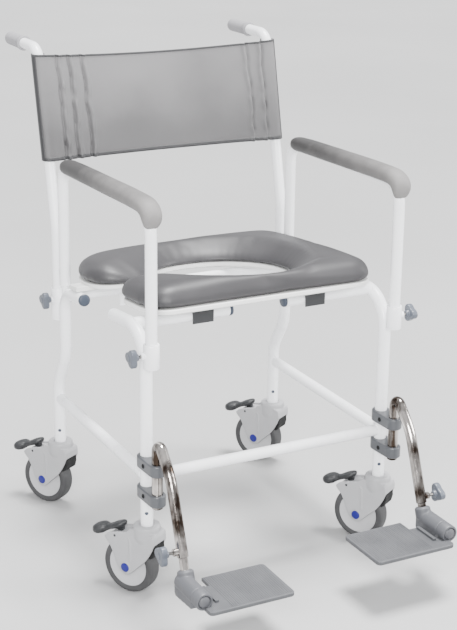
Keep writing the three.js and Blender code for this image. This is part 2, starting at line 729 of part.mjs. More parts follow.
// The base rests on the front rails and, by a lug on each side, on the rear stubs; pockets hold the clips.
const CLIP_X = 110;
const CLIP = { length: 40, depth: 26, above: 15 };
function seatBase() {
  const rim = slab(seatOutline(7), BASE_T - BASE_STEP, 5).translate(0, 0, (BASE_T + BASE_STEP) / 2);
  const step = slab(seatOutline(24), BASE_STEP + 1, 5).translate(0, 0, (BASE_STEP + 1) / 2);
  const lugs = [-1, 1].map((side) => new THREE.BoxGeometry(44, 36, 9).translate(side * 218, 306, 4.5));
  const pockets = [-1, 1].map((side) =>
    new THREE.BoxGeometry(CLIP.length + 1, CLIP.depth + 2, 12)
      .translate(side * CLIP_X, FRONT_RAIL_Y + 0.5, 0),
  );
  return cut(join(rim, step, ...lugs), ...pockets);
}
addMesh(seat, "seat_base", seatBase(), whitePlastic);
// The cushion's edges are rounded by the bevel, which grows the outline back to full size.
const EDGE = 13;
const cushion = new THREE.ExtrudeGeometry(seatOutline(EDGE), {
  depth: CUSHION_T - 2 * EDGE,
  bevelEnabled: true,
  bevelThickness: EDGE,
  bevelSize: EDGE,
  bevelSegments: 2,
  curveSegments: 4,
}).translate(0, 0, BASE_T + GAP + EDGE);
addMesh(seat, "seat_cushion", cushion, cushionSkin);

// Each clip hangs under the base and grips a front rail stub.
function railClip() {
  const half = CLIP.depth / 2;
  const section = polygon([[-half, -13], [half, -13], [half, CLIP.above], [-half, CLIP.above]]);
  const block = slab(section, CLIP.length);
  const opening = slab(circle(LEG_R + GAP), CLIP.length + 4, 8);
  const throat = LEG_R + GAP;
  const mouth = slab(polygon([[-throat, -30], [throat, -30], [throat, 0], [-throat, 0]]), CLIP.length + 4);
  return uprightYZ(cut(block, opening, mouth));
}
for (const [side, tag] of [[-1, "L"], [1, "R"]]) {
  const clip = addMesh(chair, `seat_clip_${tag}`, railClip(), clipPlastic);
  clip.position.set(side * CLIP_X, FRONT_RAIL_Y, SEAT_Z - 5);
}

const extent = new THREE.Box3().setFromObject(chair, true);
const middle = extent.getCenter(V(0, 0, 0));
chair.position.set(-middle.x, -middle.y, 0);

export default chair;
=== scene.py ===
"""The look of the wheeled commode chair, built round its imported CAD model.

Lengths are in millimetres unless a comment says metres, measured as in the CAD source from the floor point midway
between the front legs. place() turns such a point into the frame's metres, and show() does so for a whole piece.
Names end in L or R for the side on -X or +X, and a castor's in FL, FR, RL or RR.
"""

import math

import bmesh
import bpy
import numpy as np
from mathutils import Matrix, Vector, noise


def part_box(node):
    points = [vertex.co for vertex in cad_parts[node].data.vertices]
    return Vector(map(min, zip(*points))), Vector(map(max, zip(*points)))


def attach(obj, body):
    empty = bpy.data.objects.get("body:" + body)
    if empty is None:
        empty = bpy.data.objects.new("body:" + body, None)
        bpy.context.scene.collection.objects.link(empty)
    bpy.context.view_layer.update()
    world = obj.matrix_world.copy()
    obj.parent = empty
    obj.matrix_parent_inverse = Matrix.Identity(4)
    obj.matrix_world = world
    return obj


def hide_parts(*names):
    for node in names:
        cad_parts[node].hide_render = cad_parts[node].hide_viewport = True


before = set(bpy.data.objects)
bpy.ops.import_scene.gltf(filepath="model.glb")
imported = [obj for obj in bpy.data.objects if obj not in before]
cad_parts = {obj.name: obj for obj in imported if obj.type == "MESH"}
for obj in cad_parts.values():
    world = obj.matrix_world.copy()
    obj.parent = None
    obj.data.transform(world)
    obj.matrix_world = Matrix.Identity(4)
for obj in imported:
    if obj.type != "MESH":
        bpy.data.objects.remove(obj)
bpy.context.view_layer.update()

MM = 0.001
rail_low, rail_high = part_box("front_cross_rail")
ORIGIN = Vector(((rail_low.x + rail_high.x) / 2, (rail_low.y + rail_high.y) / 2, 0))
SIDES = ((-1, "L"), (1, "R"))

# ---- dimensions shared with the CAD model ----
LEG_X, LEG_R, POST_R = 234, 11, 10
REAR_Y, REAR_UPPER_Y = 402, 361
SEAT_Z, SEAT_SLOPE = 485, 0.105
FRONT_RAIL_Y, RAIL_END_X = 50, 56
FRONT_STUB_Y, REAR_STUB_Y = 134, 269
LOWER_RAIL_Z = 223
SWIVEL = math.radians(31)
TRAIL, WHEEL_R, TREAD_R = 32, 50, 38
CHEEK, FORK = 20, 15.8
PEDAL_Y, PEDAL_Z = 54, 105
HINGE_Y, PIN_R = -43, 9.5
KNEE = Vector((0, -96, 256))
SLIDE_DIR = Vector((0, -0.36, -0.933)).normalized()
FOOT_RAISE = {"L": 0, "R": 14}
HUB_X, HUB_Z = 4, 98
ARM_X, ARM_FRONT_Y, ARM_REAR_Y, ARM_Z = 235.5, -25, 354, 688
BACK_X, BACK_Y, BACK_BEND_Z, BACK_TOP_Z, BACK_LEAN = 236, 390, 555, 879, 0.222
SLING_Z = (682, 870)
HANDLE_END_Y, GRIP_START_Y = 606, 532
SEAT_TILT = -math.atan(SEAT_SLOPE)
SEAT_HALF_W, SEAT_FRONT_Y, SEAT_REAR_Y = 224, -4, 408
BASE_T, BASE_STEP, CUSHION_T = 13, 5, 39
CLAMP_LEVELS = (("lower", 197), ("upper", 252))
CLAMP_LEG_R, CLAMP_PIN_R, CLAMP_HALF_H = 16.5, 14.5, 10.5
PLATE_LOW, PLATE_TOP = 81, 88
SLEEVE_R = POST_R + 2.2


def seat_z(y):
    return SEAT_Z - SEAT_SLOPE * y


def back_y(z):
    return BACK_Y + max(0, z - BACK_BEND_Z) * BACK_LEAN


# ---- materials ----
class Nodes:
    """A material's node tree with short calls for the nodes used here."""

    def __init__(self, name):
        self.material = bpy.data.materials.new(name)
        self.material.use_nodes = True
        self.tree = self.material.node_tree
        self.shader = self.tree.nodes["Principled BSDF"]
        self.at = self.add("ShaderNodeTexCoord").outputs["Object"]

    def add(self, kind, **values):
        node = self.tree.nodes.new(kind)
        for key, value in values.items():
            if hasattr(node, key):
                setattr(node, key, value)
            else:
                node.inputs[key.replace("_", " ")].default_value = value
        return node

    def link(self, source, target):
        self.tree.links.new(source, target)

    def noise(self, scale, detail=3.0, stretch=None):
        node = self.add("ShaderNodeTexNoise", Scale=scale, Detail=detail)
        source = self.at
        if stretch:
            mapping = self.add("ShaderNodeMapping")
            mapping.inputs["Scale"].default_value = stretch
            self.link(self.at, mapping.inputs["Vector"])
            source = mapping.outputs["Vector"]
        self.link(source, node.inputs["Vector"])
        return node.outputs["Fac"]

    def wave(self, scale, direction="X", distortion=0.0):
        node = self.add("ShaderNodeTexWave", bands_direction=direction, Scale=scale, Distortion=distortion)
        self.link(self.at, node.inputs["Vector"])
        return node.outputs["Fac"]

    def ramp(self, factor, low, high, start=0.3, end=0.7):
        node = self.add("ShaderNodeValToRGB")
        node.color_ramp.elements[0].position = start
        node.color_ramp.elements[1].position = end
        node.color_ramp.elements[0].color = (*low, 1)
        node.color_ramp.elements[1].color = (*high, 1)
        self.link(factor, node.inputs["Fac"])
        return node.outputs["Color"]

    def between(self, factor, low, high):
        node = self.add("ShaderNodeMapRange")
        node.inputs["From Min"].default_value = 0.3
        node.inputs["From Max"].default_value = 0.7
        node.inputs["To Min"].default_value = low
        node.inputs["To Max"].default_value = high
        self.link(factor, node.inputs["Value"])
        return node.outputs["Result"]

    def share_between(self, coordinate, start, end):
        """How far a point lies, from 0 to 1, on the way from start to end (metres) along X, Y or Z."""
        apart = self.add("ShaderNodeSeparateXYZ")
        self.link(self.at, apart.inputs["Vector"])
        node = self.add("ShaderNodeMapRange")
        node.inputs["From Min"].default_value = start
        node.inputs["From Max"].default_value = end
        self.link(apart.outputs[coordinate], node.inputs["Value"])
        return node

    def math(self, operation, a, b):
        node = self.add("ShaderNodeMath", operation=operation)
        self.link(a, node.inputs[0])
        if isinstance(b, (int, float)):
            node.inputs[1].default_value = b
        else:
            self.link(b, node.inputs[1])
        return node.outputs[0]

    def bump(self, height, strength, distance=0.0005):
        node = self.add("ShaderNodeBump", Strength=strength, Distance=distance)
        self.link(height, node.inputs["Height"])
        previous = self.shader.inputs["Normal"]
        if previous.is_linked:
            self.link(previous.links[0].from_socket, node.inputs["Normal"])
        self.link(node.outputs["Normal"], self.shader.inputs["Normal"])

    def set(self, **values):
        for key, value in values.items():
            self.shader.inputs[key.replace("_", " ")].default_value = value


def srgb(value):
    """Linear colour from a grey level or a triple of 0 to 255 display values."""
    levels = value if isinstance(value, tuple) else (value, value, value)
    return tuple((v / 255 / 12.92) if v < 10.3 else ((v / 255 + 0.055) / 1.055) ** 2.4 for v in levels)


def shaded(colour, share):
    return tuple(c * share for c in colour)


def surface(name, colour, roughness, patch=40, spread=0.06, grain=900, grain_bump=0.1, metallic=0.0, **sockets):
    """A moulded or coated surface: slow colour and gloss variation over a fine surface grain."""
    n = Nodes(name)
    slow = n.noise(patch, 4.0)
    fine = n.noise(grain, 2.0)
    n.link(n.ramp(slow, shaded(colour, 1 - spread), colour), n.shader.inputs["Base Color"])
    n.link(n.between(slow, roughness * 0.85, roughness * 1.15), n.shader.inputs["Roughness"])
    n.bump(fine, grain_bump, 0.0003)
    n.set(Metallic=metallic, **sockets)
    return n


paint = surface("powder_coat", srgb((247, 248, 250)), 0.3, grain=700, grain_bump=0.12, spread=0.02,
                Coat_Weight=0.25, Coat_Roughness=0.15).material
housing_grey = surface("housing_nylon", srgb((160, 160, 162)), 0.42, patch=30, grain=1600, grain_bump=0.16).material
wheel_grey = surface("wheel_nylon", srgb((176, 176, 178)), 0.42, patch=60, grain=1600, grain_bump=0.12).material
pedal_dark = surface("pedal_nylon", srgb((36, 37, 39)), 0.5, patch=60, grain=1500, grain_bump=0.25).material
mid_grey = surface("footrest_nylon", srgb((80, 81, 85)), 0.5, patch=50, grain=1300, grain_bump=0.25).material
clamp_grey = surface("clamp_nylon", srgb((72, 74, 78)), 0.4, patch=60, grain=1300, grain_bump=0.15,
                     Coat_Weight=0.2, Coat_Roughness=0.2).material
knob_grey = surface("knob_plastic", srgb((84, 89, 98)), 0.34, patch=90, grain=1200, grain_bump=0.08).material
clip_dark = surface("clip_nylon", srgb((38, 39, 41)), 0.45, patch=90, grain=1200, grain_bump=0.2).material
base_white = surface("base_plastic", srgb((232, 232, 230)), 0.35, patch=20, grain=1500, grain_bump=0.06,
                     spread=0.03).material
grip_soft = surface("grip_rubber", srgb((150, 149, 152)), 0.6, patch=40, grain=1800, grain_bump=0.3).material
plug_blue = surface("plug_plastic", srgb((52, 60, 74)), 0.4, patch=120, grain=1500, grain_bump=0.12).material
cap_blue = surface("axle_cap_blue", srgb((10, 12, 112)), 0.35, patch=200, grain=2500, grain_bump=0.08).material
# near-black: painted shade inside the castor forks, and the real black of the clamp screws
fork_shade_and_screw_black = surface("fork_shade_and_screw_black_mat", srgb((7, 7, 8)), 0.85, patch=80, grain=900, grain_bump=0.2).material
screw_steel = surface("screw_steel", srgb((120, 118, 116)), 0.35, patch=300, grain=3000, grain_bump=0.1,
                      metallic=1.0).material


def make_chrome():
    n = Nodes("chrome_plate")
    slow = n.noise(14, 5.0)
    lengthwise_streaks = n.noise(60, 3.0, (1, 1, 0.06))
    # painted reflection: the base colour's dark and pale blotches, and its streaks along the tube, stand for mirrored
    # surroundings; the same streaks also vary the gloss and bump
    tone = n.math("ADD", n.math("MULTIPLY", slow, 0.6), n.math("MULTIPLY", lengthwise_streaks, 0.4))
    n.link(n.ramp(tone, srgb((60, 50, 43)), srgb((200, 194, 189)), 0.44, 0.56), n.shader.inputs["Base Color"])
    n.link(n.between(lengthwise_streaks, 0.08, 0.2), n.shader.inputs["Roughness"])
    n.bump(lengthwise_streaks, 0.06, 0.0004)
    n.set(Metallic=1.0)
    return n.material


def make_rubber():
    n = Nodes("tread_rubber")
    slow = n.noise(45, 4.0)
    fine = n.noise(1400, 2.0)
    n.link(n.ramp(slow, srgb((50, 50, 51)), srgb((64, 64, 65))), n.shader.inputs["Base Color"])
    n.link(n.between(slow, 0.6, 0.78), n.shader.inputs["Roughness"])
    n.bump(fine, 0.3, 0.0004)
    return n.material


def make_skin():
    """The cushion's smooth coated foam: soft gloss over a very fine grain and faint hand marks."""
    n = Nodes("cushion_skin")
    slow = n.noise(9, 5.0)
    cells = n.add("ShaderNodeTexVoronoi", Scale=900.0)
    n.link(n.at, cells.inputs["Vector"])
    n.link(n.ramp(slow, srgb((48, 47, 49)), srgb((57, 56, 58))), n.shader.inputs["Base Color"])
    n.link(n.between(slow, 0.46, 0.56), n.shader.inputs["Roughness"])
    n.bump(cells.outputs["Distance"], 0.12, 0.0003)
    n.bump(n.noise(28, 3.0), 0.08, 0.002)
    n.set(Coat_Weight=0.1, Coat_Roughness=0.45)
    return n.material


PAD_REAR_M, PAD_NOSE_M = 0.33, -0.02  # where the painted front light on the pads begins, and where it is full towards the nose


def make_pad():
    """The arm pads' self-skinned foam: pebbled and matt, with painted light making it paler towards the nose."""
    n = Nodes("arm_pad_foam")
    # painted light: the pads' colour grows paler from the rear towards the nose, as if the front lamp lit the nose
    painted_nose_light = n.share_between("Y", PAD_REAR_M, PAD_NOSE_M)
    mottle = n.math("MULTIPLY", n.noise(22, 4.0), 0.4)
    slow = n.math("ADD", mottle, n.math("MULTIPLY", painted_nose_light.outputs["Result"], 0.5))
    cells = n.add("ShaderNodeTexVoronoi", Scale=520.0)
    n.link(n.at, cells.inputs["Vector"])
    n.link(n.ramp(slow, srgb((56, 55, 55)), srgb((118, 116, 115))), n.shader.inputs["Base Color"])
    n.link(n.between(slow, 0.5, 0.64), n.shader.inputs["Roughness"])
    n.bump(cells.outputs["Distance"], 0.28, 0.0004)
    return n.material


def make_cloth(name, light, dark):
    """Coated cloth: a fine plain weave under a thin satin coating, made paler towards the top by painted light."""
    n = Nodes(name)
    # painted light: the cloth's colour is paler towards the top, as if lit more from above
    height = n.share_between("Z", SLING_Z[0] * MM, SLING_Z[1] * MM)
    height.interpolation_type = "SMOOTHSTEP"
    painted_top_light = n.math("MULTIPLY", height.outputs["Result"], 0.45)
    slow = n.math("ADD", n.math("MULTIPLY", n.noise(7, 5.0), 0.6), painted_top_light)
    across = n.wave(420, "X")
    along = n.wave(420, "Z")
    weave = n.math("MULTIPLY", across, along)
    tone = n.math("ADD", n.math("MULTIPLY", slow, 0.8), n.math("MULTIPLY", weave, 0.2))
    n.link(n.ramp(tone, dark, light, 0.3, 0.65), n.shader.inputs["Base Color"])
    n.link(n.between(slow, 0.46, 0.6), n.shader.inputs["Roughness"])
    n.bump(weave, 0.35, 0.0003)
    n.bump(n.noise(45, 4.0), 0.1, 0.002)
    n.set(Sheen_Weight=0.15, Sheen_Roughness=0.4)
    return n.material


def make_plate():
    """The footplates' plastic: fine moulded ribs from front to rear."""
    n = Nodes("plate_ribbed")
    slow = n.noise(25, 4.0)
    ribs = n.wave(105, "X")
    n.link(n.ramp(slow, srgb((70, 71, 74)), srgb((80, 81, 84))), n.shader.inputs["Base Color"])
    n.link(n.between(slow, 0.5, 0.62), n.shader.inputs["Roughness"])
    n.bump(ribs, 0.5, 0.0006)
    n.bump(n.noise(1500, 2.0), 0.2, 0.0002)
    return n.material


chrome = make_chrome()
rubber = make_rubber()
skin = make_skin()
pad_foam = make_pad()
plate_ribbed = make_plate()
sling_cloth = make_cloth("sling_cloth", srgb((114, 113, 114)), srgb((78, 77, 78)))
hem_cloth = make_cloth("sling_hem", srgb((46, 46, 48)), srgb((36, 36, 38)))

# ---- mesh tools ----
AXES = {"X": Matrix.Rotation(math.pi / 2, 4, "Y"), "Y": Matrix.Rotation(-math.pi / 2, 4, "X"), "Z": Matrix()}


def skin_faces(rings, sides):
    """The quads between neighbouring rings of a stack, each ring with the given number of points."""
    return [
        [i * sides + k, i * sides + (k + 1) % sides, (i + 1) * sides + (k + 1) % sides, (i + 1) * sides + k]
        for i in range(rings - 1)
        for k in range(sides)
    ]


def path_of(corners, bends, steps):
    """Points and tangents of straight runs joined by arcs of the given bend radii."""
    corners = [Vector(c) for c in corners]
    points = [corners[0]]
    tangents = [(corners[1] - corners[0]).normalized()]
    for i in range(1, len(corners) - 1):
        into = (corners[i] - corners[i - 1]).normalized()
        out = (corners[i + 1] - corners[i]).normalized()
        radius = bends[i - 1] if isinstance(bends, (list, tuple)) else bends
        turn = into.angle(out)
        axis = into.cross(out).normalized()
        start = corners[i] - into * radius * math.tan(turn / 2)
        centre = start + axis.cross(into) * radius
        for k in range(steps + 1):
            spin = Matrix.Rotation(turn * k / steps, 3, axis)
            points.append(centre + spin @ (start - centre))
            tangents.append(spin @ into)
    points.append(corners[-1])
    tangents.append((corners[-1] - corners[-2]).normalized())
    return points, tangents


class Form:
    """Collects closed shapes, in millimetres, that become one mesh object."""

    def __init__(self):
        self.verts = []
        self.faces = []

    def add(self, verts, faces):
        base = len(self.verts)
        self.verts += [Vector(v) for v in verts]
        self.faces += [[base + i for i in f] for f in faces]

    def tube(self, corners, radius, bends=30, sides=32, steps=12, round_end=1.2):
        """A round bar whose two ends have a small edge radius."""
        points, tangents = path_of(corners, bends, steps)
        rings = []
        side = tangents[0].orthogonal().normalized()
        for i, (p, t) in enumerate(zip(points, tangents)):
            side = (side - t * side.dot(t)).normalized()
            other = t.cross(side)
            ring = [
                side * math.cos(a) + other * math.sin(a)
                for a in (2 * math.pi * k / sides for k in range(sides))
            ]
            if i == 0:
                rings.append((p, ring, radius - round_end))
                rings.append((p + t * round_end, ring, radius))
            elif i == len(points) - 1:
                rings.append((p - t * round_end, ring, radius))
                rings.append((p, ring, radius - round_end))
            else:
                rings.append((p, ring, radius))
        verts = [p + d * r for p, ring, r in rings for d in ring]
        faces = skin_faces(len(rings), sides)
        faces.append(list(range(sides))[::-1])
        faces.append([(len(rings) - 1) * sides + k for k in range(sides)])
        self.add(verts, faces)

    def loft(self, rings):
        """A closed skin over a stack of rings of points, from the first to the last."""
        sides = len(rings[0])
        faces = skin_faces(len(rings), sides)
        faces.append(list(range(sides)))
        faces.append([(len(rings) - 1) * sides + k for k in range(sides)][::-1])
        self.add([point for ring in rings for point in ring], faces)

    def lathe(self, profile, at, axis="Z", segments=48):
        """A turned solid: profile is (radius, height) pairs along the axis through at; a closed profile is a ring."""
        if isinstance(axis, str):
            turn = AXES[axis]
        else:
            turn = Vector((0, 0, 1)).rotation_difference(axis).to_matrix().to_4x4()
        place_here = Matrix.Translation(Vector(at)) @ turn
        ring_like = profile[0] == profile[-1]
        profile = profile[:-1] if ring_like else profile
        verts = []
        for r, z in profile:
            for k in range(segments):
                a = 2 * math.pi * k / segments
                verts.append(place_here @ Vector((r * math.cos(a), r * math.sin(a), z)))
        count = len(profile)
        faces = []
        for i in range(count if ring_like else count - 1):
            j = (i + 1) % count
            for k in range(segments):
                m = (k + 1) % segments
                faces.append([i * segments + k, i * segments + m, j * segments + m, j * segments + k])
        if not ring_like:
            faces.append(list(range(segments))[::-1])
            faces.append([(count - 1) * segments + k for k in range(segments)])
        self.add(verts, faces)

    def prism(self, outline, low, high, axis="Z", at=(0, 0, 0)):
        """An outline pushed from low to high along an axis; on X the outline is (y, z), on Y it is (x, z)."""
        def point(a, b, h):
            return {"Z": (a, b, h), "X": (h, a, b), "Y": (a, h, b)}[axis]

        n = len(outline)
        verts = [Vector(point(a, b, low)) + Vector(at) for a, b in outline]
        verts += [Vector(point(a, b, high)) + Vector(at) for a, b in outline]
        faces = [list(range(n))[::-1], [n + i for i in range(n)]]
        faces += [[i, (i + 1) % n, n + (i + 1) % n, n + i] for i in range(n)]
        self.add(verts, faces)


def oval(count, wide, tall, wide_power, tall_power):
    """Points of an oval of the given half sizes; powers below 1 square it off."""
    ring = []
    for k in range(count):
        a = 2 * math.pi * k / count
        c, s = math.cos(a), math.sin(a)
        ring.append((wide * math.copysign(abs(c) ** wide_power, c), tall * math.copysign(abs(s) ** tall_power, s)))
    return ring


def mesh_of(name, form):
    """A form's mesh, in metres, with every face turned outwards."""
    mesh = bpy.data.meshes.new(name)
    mesh.from_pydata([v * MM for v in form.verts], [], form.faces)
    edit = bmesh.new()
    edit.from_mesh(mesh)
    bmesh.ops.recalc_face_normals(edit, faces=edit.faces)
    edit.to_mesh(mesh)
    edit.free()
    return mesh


def smooth_shaded(mesh, sharp):
    """Smooth shading that keeps edges sharper than the given degrees."""
    mesh.shade_smooth()
    mesh.set_sharp_from_angle(angle=math.radians(sharp))
    return mesh


def in_scene(name, data):
    obj = bpy.data.objects.new(name, data)
    bpy.context.scene.collection.objects.link(obj)
    return obj


def place(point):
    return Vector(point) * MM + ORIGIN


BEVEL_STEPS, BEVEL_FROM = 3, math.radians(40)


def show(name, form, material, body, replaces=(), matrix=None, sharp=38, bevel=0.0, modifiers=()):
    """Makes one object from a form, or from a mesh with its material, and sets what it rides on and stands for.

    The matrix places it, in metres from ORIGIN. Modifiers are (kind, {setting: value}) pairs.
    """
    if isinstance(form, Form):
        mesh = smooth_shaded(mesh_of(name, form), sharp)
        mesh.materials.append(material)
    else:
        mesh = form
    obj = in_scene(name, mesh)
    obj.matrix_world = Matrix.Translation(ORIGIN) @ (matrix or Matrix())
    if bevel:
        edge = obj.modifiers.new("edge", "BEVEL")
        edge.width = bevel * MM
        edge.segments = BEVEL_STEPS
        edge.limit_method = "ANGLE"
        edge.angle_limit = BEVEL_FROM
    for kind, values in modifiers:
        modifier = obj.modifiers.new(kind.lower(), kind)
        for key, value in values.items():
            setattr(modifier, key, value)
    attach(obj, body)
    if replaces:
        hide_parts(*([replaces] if isinstance(replaces, str) else replaces))
    return obj


def remeshed(mesh, name, voxel, smooth):
    """An even skin over a mesh's overlapping shapes, with softened edges."""
    obj = in_scene(name, mesh)
    remesh = obj.modifiers.new("remesh", "REMESH")
    remesh.mode = "VOXEL"
    remesh.voxel_size = voxel * MM
    soften = obj.modifiers.new("soften", "SMOOTH")
    soften.factor = 0.5
    soften.iterations = smooth
    return baked(obj)


def fused(form, voxel, smooth, material, sharp=60):
    """Joins a form's overlapping shapes into one moulded skin."""
    made = smooth_shaded(remeshed(mesh_of("fused", form), "fused", voxel, smooth), sharp)
    made.materials.append(material)
    return made


def baked(obj):
    """The mesh of an object with its modifiers applied; the object goes."""
    bpy.context.view_layer.update()
    evaluated = obj.evaluated_get(bpy.context.evaluated_depsgraph_get())
    made = bpy.data.meshes.new_from_object(evaluated)
    bpy.data.objects.remove(obj)
    return made


def thickened(metres):
    return [("SOLIDIFY", {"thickness": metres, "offset": 0.0})]


def rounded_off(passes):
    return [("SMOOTH", {"factor": 0.5, "iterations": passes}), ("SUBSURF", {"levels": 1, "render_levels": 1})]


# ---- camera, floor and lights ----
CAMERA_AT = (-1209, -2155, 1307)
CAMERA_YAW, CAMERA_PITCH, CAMERA_ROLL = math.radians(27.62), math.radians(18.6), math.radians(0.72)
CAMERA_LENS, CAMERA_SENSOR = 87.2, 36
FLOOR_SPAN_M = 80.0
FRONT_LIGHT = {"at": (-1700, -2600, 1900), "size": 1.6, "power": 200}  # size in metres, power in watts
SIDE_LIGHT = {"at": (2400, -1200, 1500), "size": 1.2, "power": 90}
LIGHTS_AIM = (0, 180, 400)
SUN_STRENGTH, SUN_ANGLE, SUN_FROM = 9.4, math.radians(22), (0.12, 0.05, 1)
WORLD_COLOUR, WORLD_STRENGTH = (0.97, 0.98, 1.0, 1), 0.88

camera = in_scene("camera", bpy.data.cameras.new("camera"))
camera.data.lens = CAMERA_LENS
camera.data.sensor_width = CAMERA_SENSOR
look = Matrix.Rotation(-CAMERA_YAW, 4, "Z") @ Matrix.Rotation(math.pi / 2 - CAMERA_PITCH, 4, "X")
camera.matrix_world = Matrix.Translation(place(CAMERA_AT)) @ look @ Matrix.Rotation(CAMERA_ROLL, 4, "Z")
bpy.context.scene.camera = camera


def add_floor():
    span = FLOOR_SPAN_M
    mesh = bpy.data.meshes.new("studio_floor")
    mesh.from_pydata([(-span, -span, 0), (span, -span, 0), (span, span, 0), (-span, span, 0)], [], [(0, 1, 2, 3)])
    floor = in_scene("studio_floor", mesh)
    n = Nodes("studio_floor")
    slow = n.noise(0.9, 3.0)
    n.link(n.ramp(slow, srgb((164, 164, 164)), srgb((170, 170, 170))), n.shader.inputs["Base Color"])
    n.set(Roughness=0.7)
    n.bump(n.noise(60, 4.0), 0.05, 0.002)
    mesh.materials.append(n.material)


def add_light(name, at, size, power):
    lamp = bpy.data.lights.new(name, "AREA")
    lamp.shape = "DISK"
    lamp.size = size
    lamp.energy = power
    obj = in_scene(name, lamp)
    obj.location = place(at)
    obj.rotation_euler = (place(LIGHTS_AIM) - obj.location).to_track_quat("-Z", "Y").to_euler()


add_floor()
add_light("front_light", **FRONT_LIGHT)
add_light("side_light", **SIDE_LIGHT)
sun = bpy.data.lights.new("top_light", "SUN")
sun.energy = SUN_STRENGTH
sun.angle = SUN_ANGLE
in_scene("top_light", sun).rotation_euler = Vector(SUN_FROM).to_track_quat("Z", "Y").to_euler()
world = bpy.data.worlds.new("studio")
bpy.context.scene.world = world
world.use_nodes = True
background = world.node_tree.nodes["Background"]
background.inputs["Color"].default_value = WORLD_COLOUR
background.inputs["Strength"].default_value = WORLD_STRENGTH

# ---- welded frame ----
LEG_FOOT_Z, RIVET_Z = 120, 158
SOCKET_BORE_R, SOCKET_R, SOCKET_LIP_R = 10.3, 13, 13.6


def socket_profile(low, high):
    """A tube socket between two heights, with a small lip edge at both ends."""
    return [(SOCKET_BORE_R, low), (SOCKET_R, low), (SOCKET_LIP_R, low + 1), (SOCKET_LIP_R, high - 1),
            (SOCKET_R, high), (SOCKET_BORE_R, high), (SOCKET_BORE_R, low)]


for side, tag in SIDES:
    x = side * LEG_X
    leg = Form()
    leg.tube([(x, 0, LEG_FOOT_Z), (x, 0, SEAT_Z), (x, FRONT_STUB_Y, seat_z(FRONT_STUB_Y))], LEG_R, 62, steps=18)
    leg.tube([(x, FRONT_RAIL_Y, SEAT_Z - 5), (side * RAIL_END_X, FRONT_RAIL_Y, SEAT_Z - 5)], LEG_R)
    leg.lathe(socket_profile(426, 468), (side * ARM_X, ARM_FRONT_Y, 0))
    leg.tube([(side * (ARM_X + 11), ARM_FRONT_Y, 449), (side * (ARM_X + 19), ARM_FRONT_Y, 449)], 6)
    for z in (434, 460):
        bead = [(x + 6 * math.cos(a), -12.5 + 4 * math.sin(a)) for a in np.linspace(0, 2 * math.pi, 20)[:-1]]
        leg.prism(bead, z - 9, z + 5)
    show(f"front_leg_tube_{tag}", leg, paint, "frame", f"front_leg_{tag}")

    rear = Form()
    rear.tube([(x, REAR_Y, LEG_FOOT_Z), (x, REAR_Y, 256), (x, REAR_UPPER_Y, 322),
               (x, REAR_UPPER_Y, seat_z(REAR_UPPER_Y)), (x, REAR_STUB_Y, seat_z(REAR_STUB_Y))], LEG_R, [70, 70, 42])
    rear.lathe(socket_profile(386, 446), (side * BACK_X, BACK_Y, 0))
    rear.tube([(side * (BACK_X + 11), BACK_Y, 425), (side * (BACK_X + 15), BACK_Y, 425)], 6)
    rear.tube([(side * ARM_X, ARM_REAR_Y, 440), (side * ARM_X, ARM_REAR_Y, 488)], 6.5)
    web = [(x - 4, REAR_UPPER_Y + 5), (x + 4, REAR_UPPER_Y + 5), (x + 4, BACK_Y - 8), (x - 4, BACK_Y - 8)]
    rear.prism(web, 395, 429)
    show(f"rear_leg_tube_{tag}", rear, paint, "frame", f"rear_leg_{tag}")

    side_rail = Form()
    side_rail.tube([(x, 9, LOWER_RAIL_Z), (x, REAR_Y - 9, LOWER_RAIL_Z)], POST_R)
    show(f"lower_side_tube_{tag}", side_rail, paint, "frame", f"lower_side_rail_{tag}")

    plug_profile = [(0.5, 0.3), (LEG_R - 1, 0.3), (LEG_R, 1), (LEG_R, 4), (LEG_R - 0.8, 5.6), (LEG_R - 3, 6.7),
                    (0.5, 7)]
    rail_plug = Form()
    rail_plug.lathe(plug_profile, (side * RAIL_END_X, FRONT_RAIL_Y, SEAT_Z - 5), Vector((-side, 0, 0)))
    show(f"rail_end_plug_{tag}", rail_plug, plug_blue, "frame", f"rail_plug_{tag}")
    stub_plug = Form()
    stub_plug.lathe(plug_profile, (x, REAR_STUB_Y, seat_z(REAR_STUB_Y)), Vector((0, -1, SEAT_SLOPE)).normalized())
    show(f"stub_end_plug_{tag}", stub_plug, plug_blue, "frame", f"stub_plug_{tag}")

    # rivets above the castors
    for name, leg_y in (("rivet_front", 0), ("rivet_rear", REAR_Y)):
        axis = Vector((-0.45, -0.9, 0)).normalized()
        rivet = Form()
        rivet.lathe([(0.3, -0.6), (3.3, -0.6), (3.2, 0.6), (2.2, 1.3), (0.3, 1.6)],
                    Vector((x, leg_y, RIVET_Z)) + axis * (LEG_R - 0.7), axis, 24)
        show(f"{name}_{tag}", rivet, plug_blue, "frame")

cross = Form()
cross.tube([(-LEG_X + 9, 0, LOWER_RAIL_Z), (LEG_X - 9, 0, LOWER_RAIL_Z)], POST_R)
show("front_cross_tube", cross, paint, "frame", "front_cross_rail")

RAIL_BACK_Y, HOOK_X, HOOK_HALF_W = 318, 132, 6
back_rail = Form()
back_z = seat_z(RAIL_BACK_Y)
back_rail.tube([(-LEG_X + 9, RAIL_BACK_Y, back_z), (LEG_X - 9, RAIL_BACK_Y, back_z)], POST_R)
for side, _ in SIDES:
    low_x, high_x = side * HOOK_X - HOOK_HALF_W, side * HOOK_X + HOOK_HALF_W
    near_y, far_y = RAIL_BACK_Y + 7.6, RAIL_BACK_Y + 12.4
    back_rail.prism([(low_x, near_y), (high_x, near_y), (high_x, far_y), (low_x, far_y)], back_z - 35.6, back_z + 3.6)
show("rear_seat_tube", back_rail, paint, "frame", "rear_seat_rail")


# ---- castors, built once about the swivel axis with the wheel trailing along +Y ----
def arc(cx, cy, radius, start, end, count):
    angles = np.linspace(math.radians(start), math.radians(end), count)
    return [(cx + radius * math.cos(a), cy + radius * math.sin(a)) for a in angles]


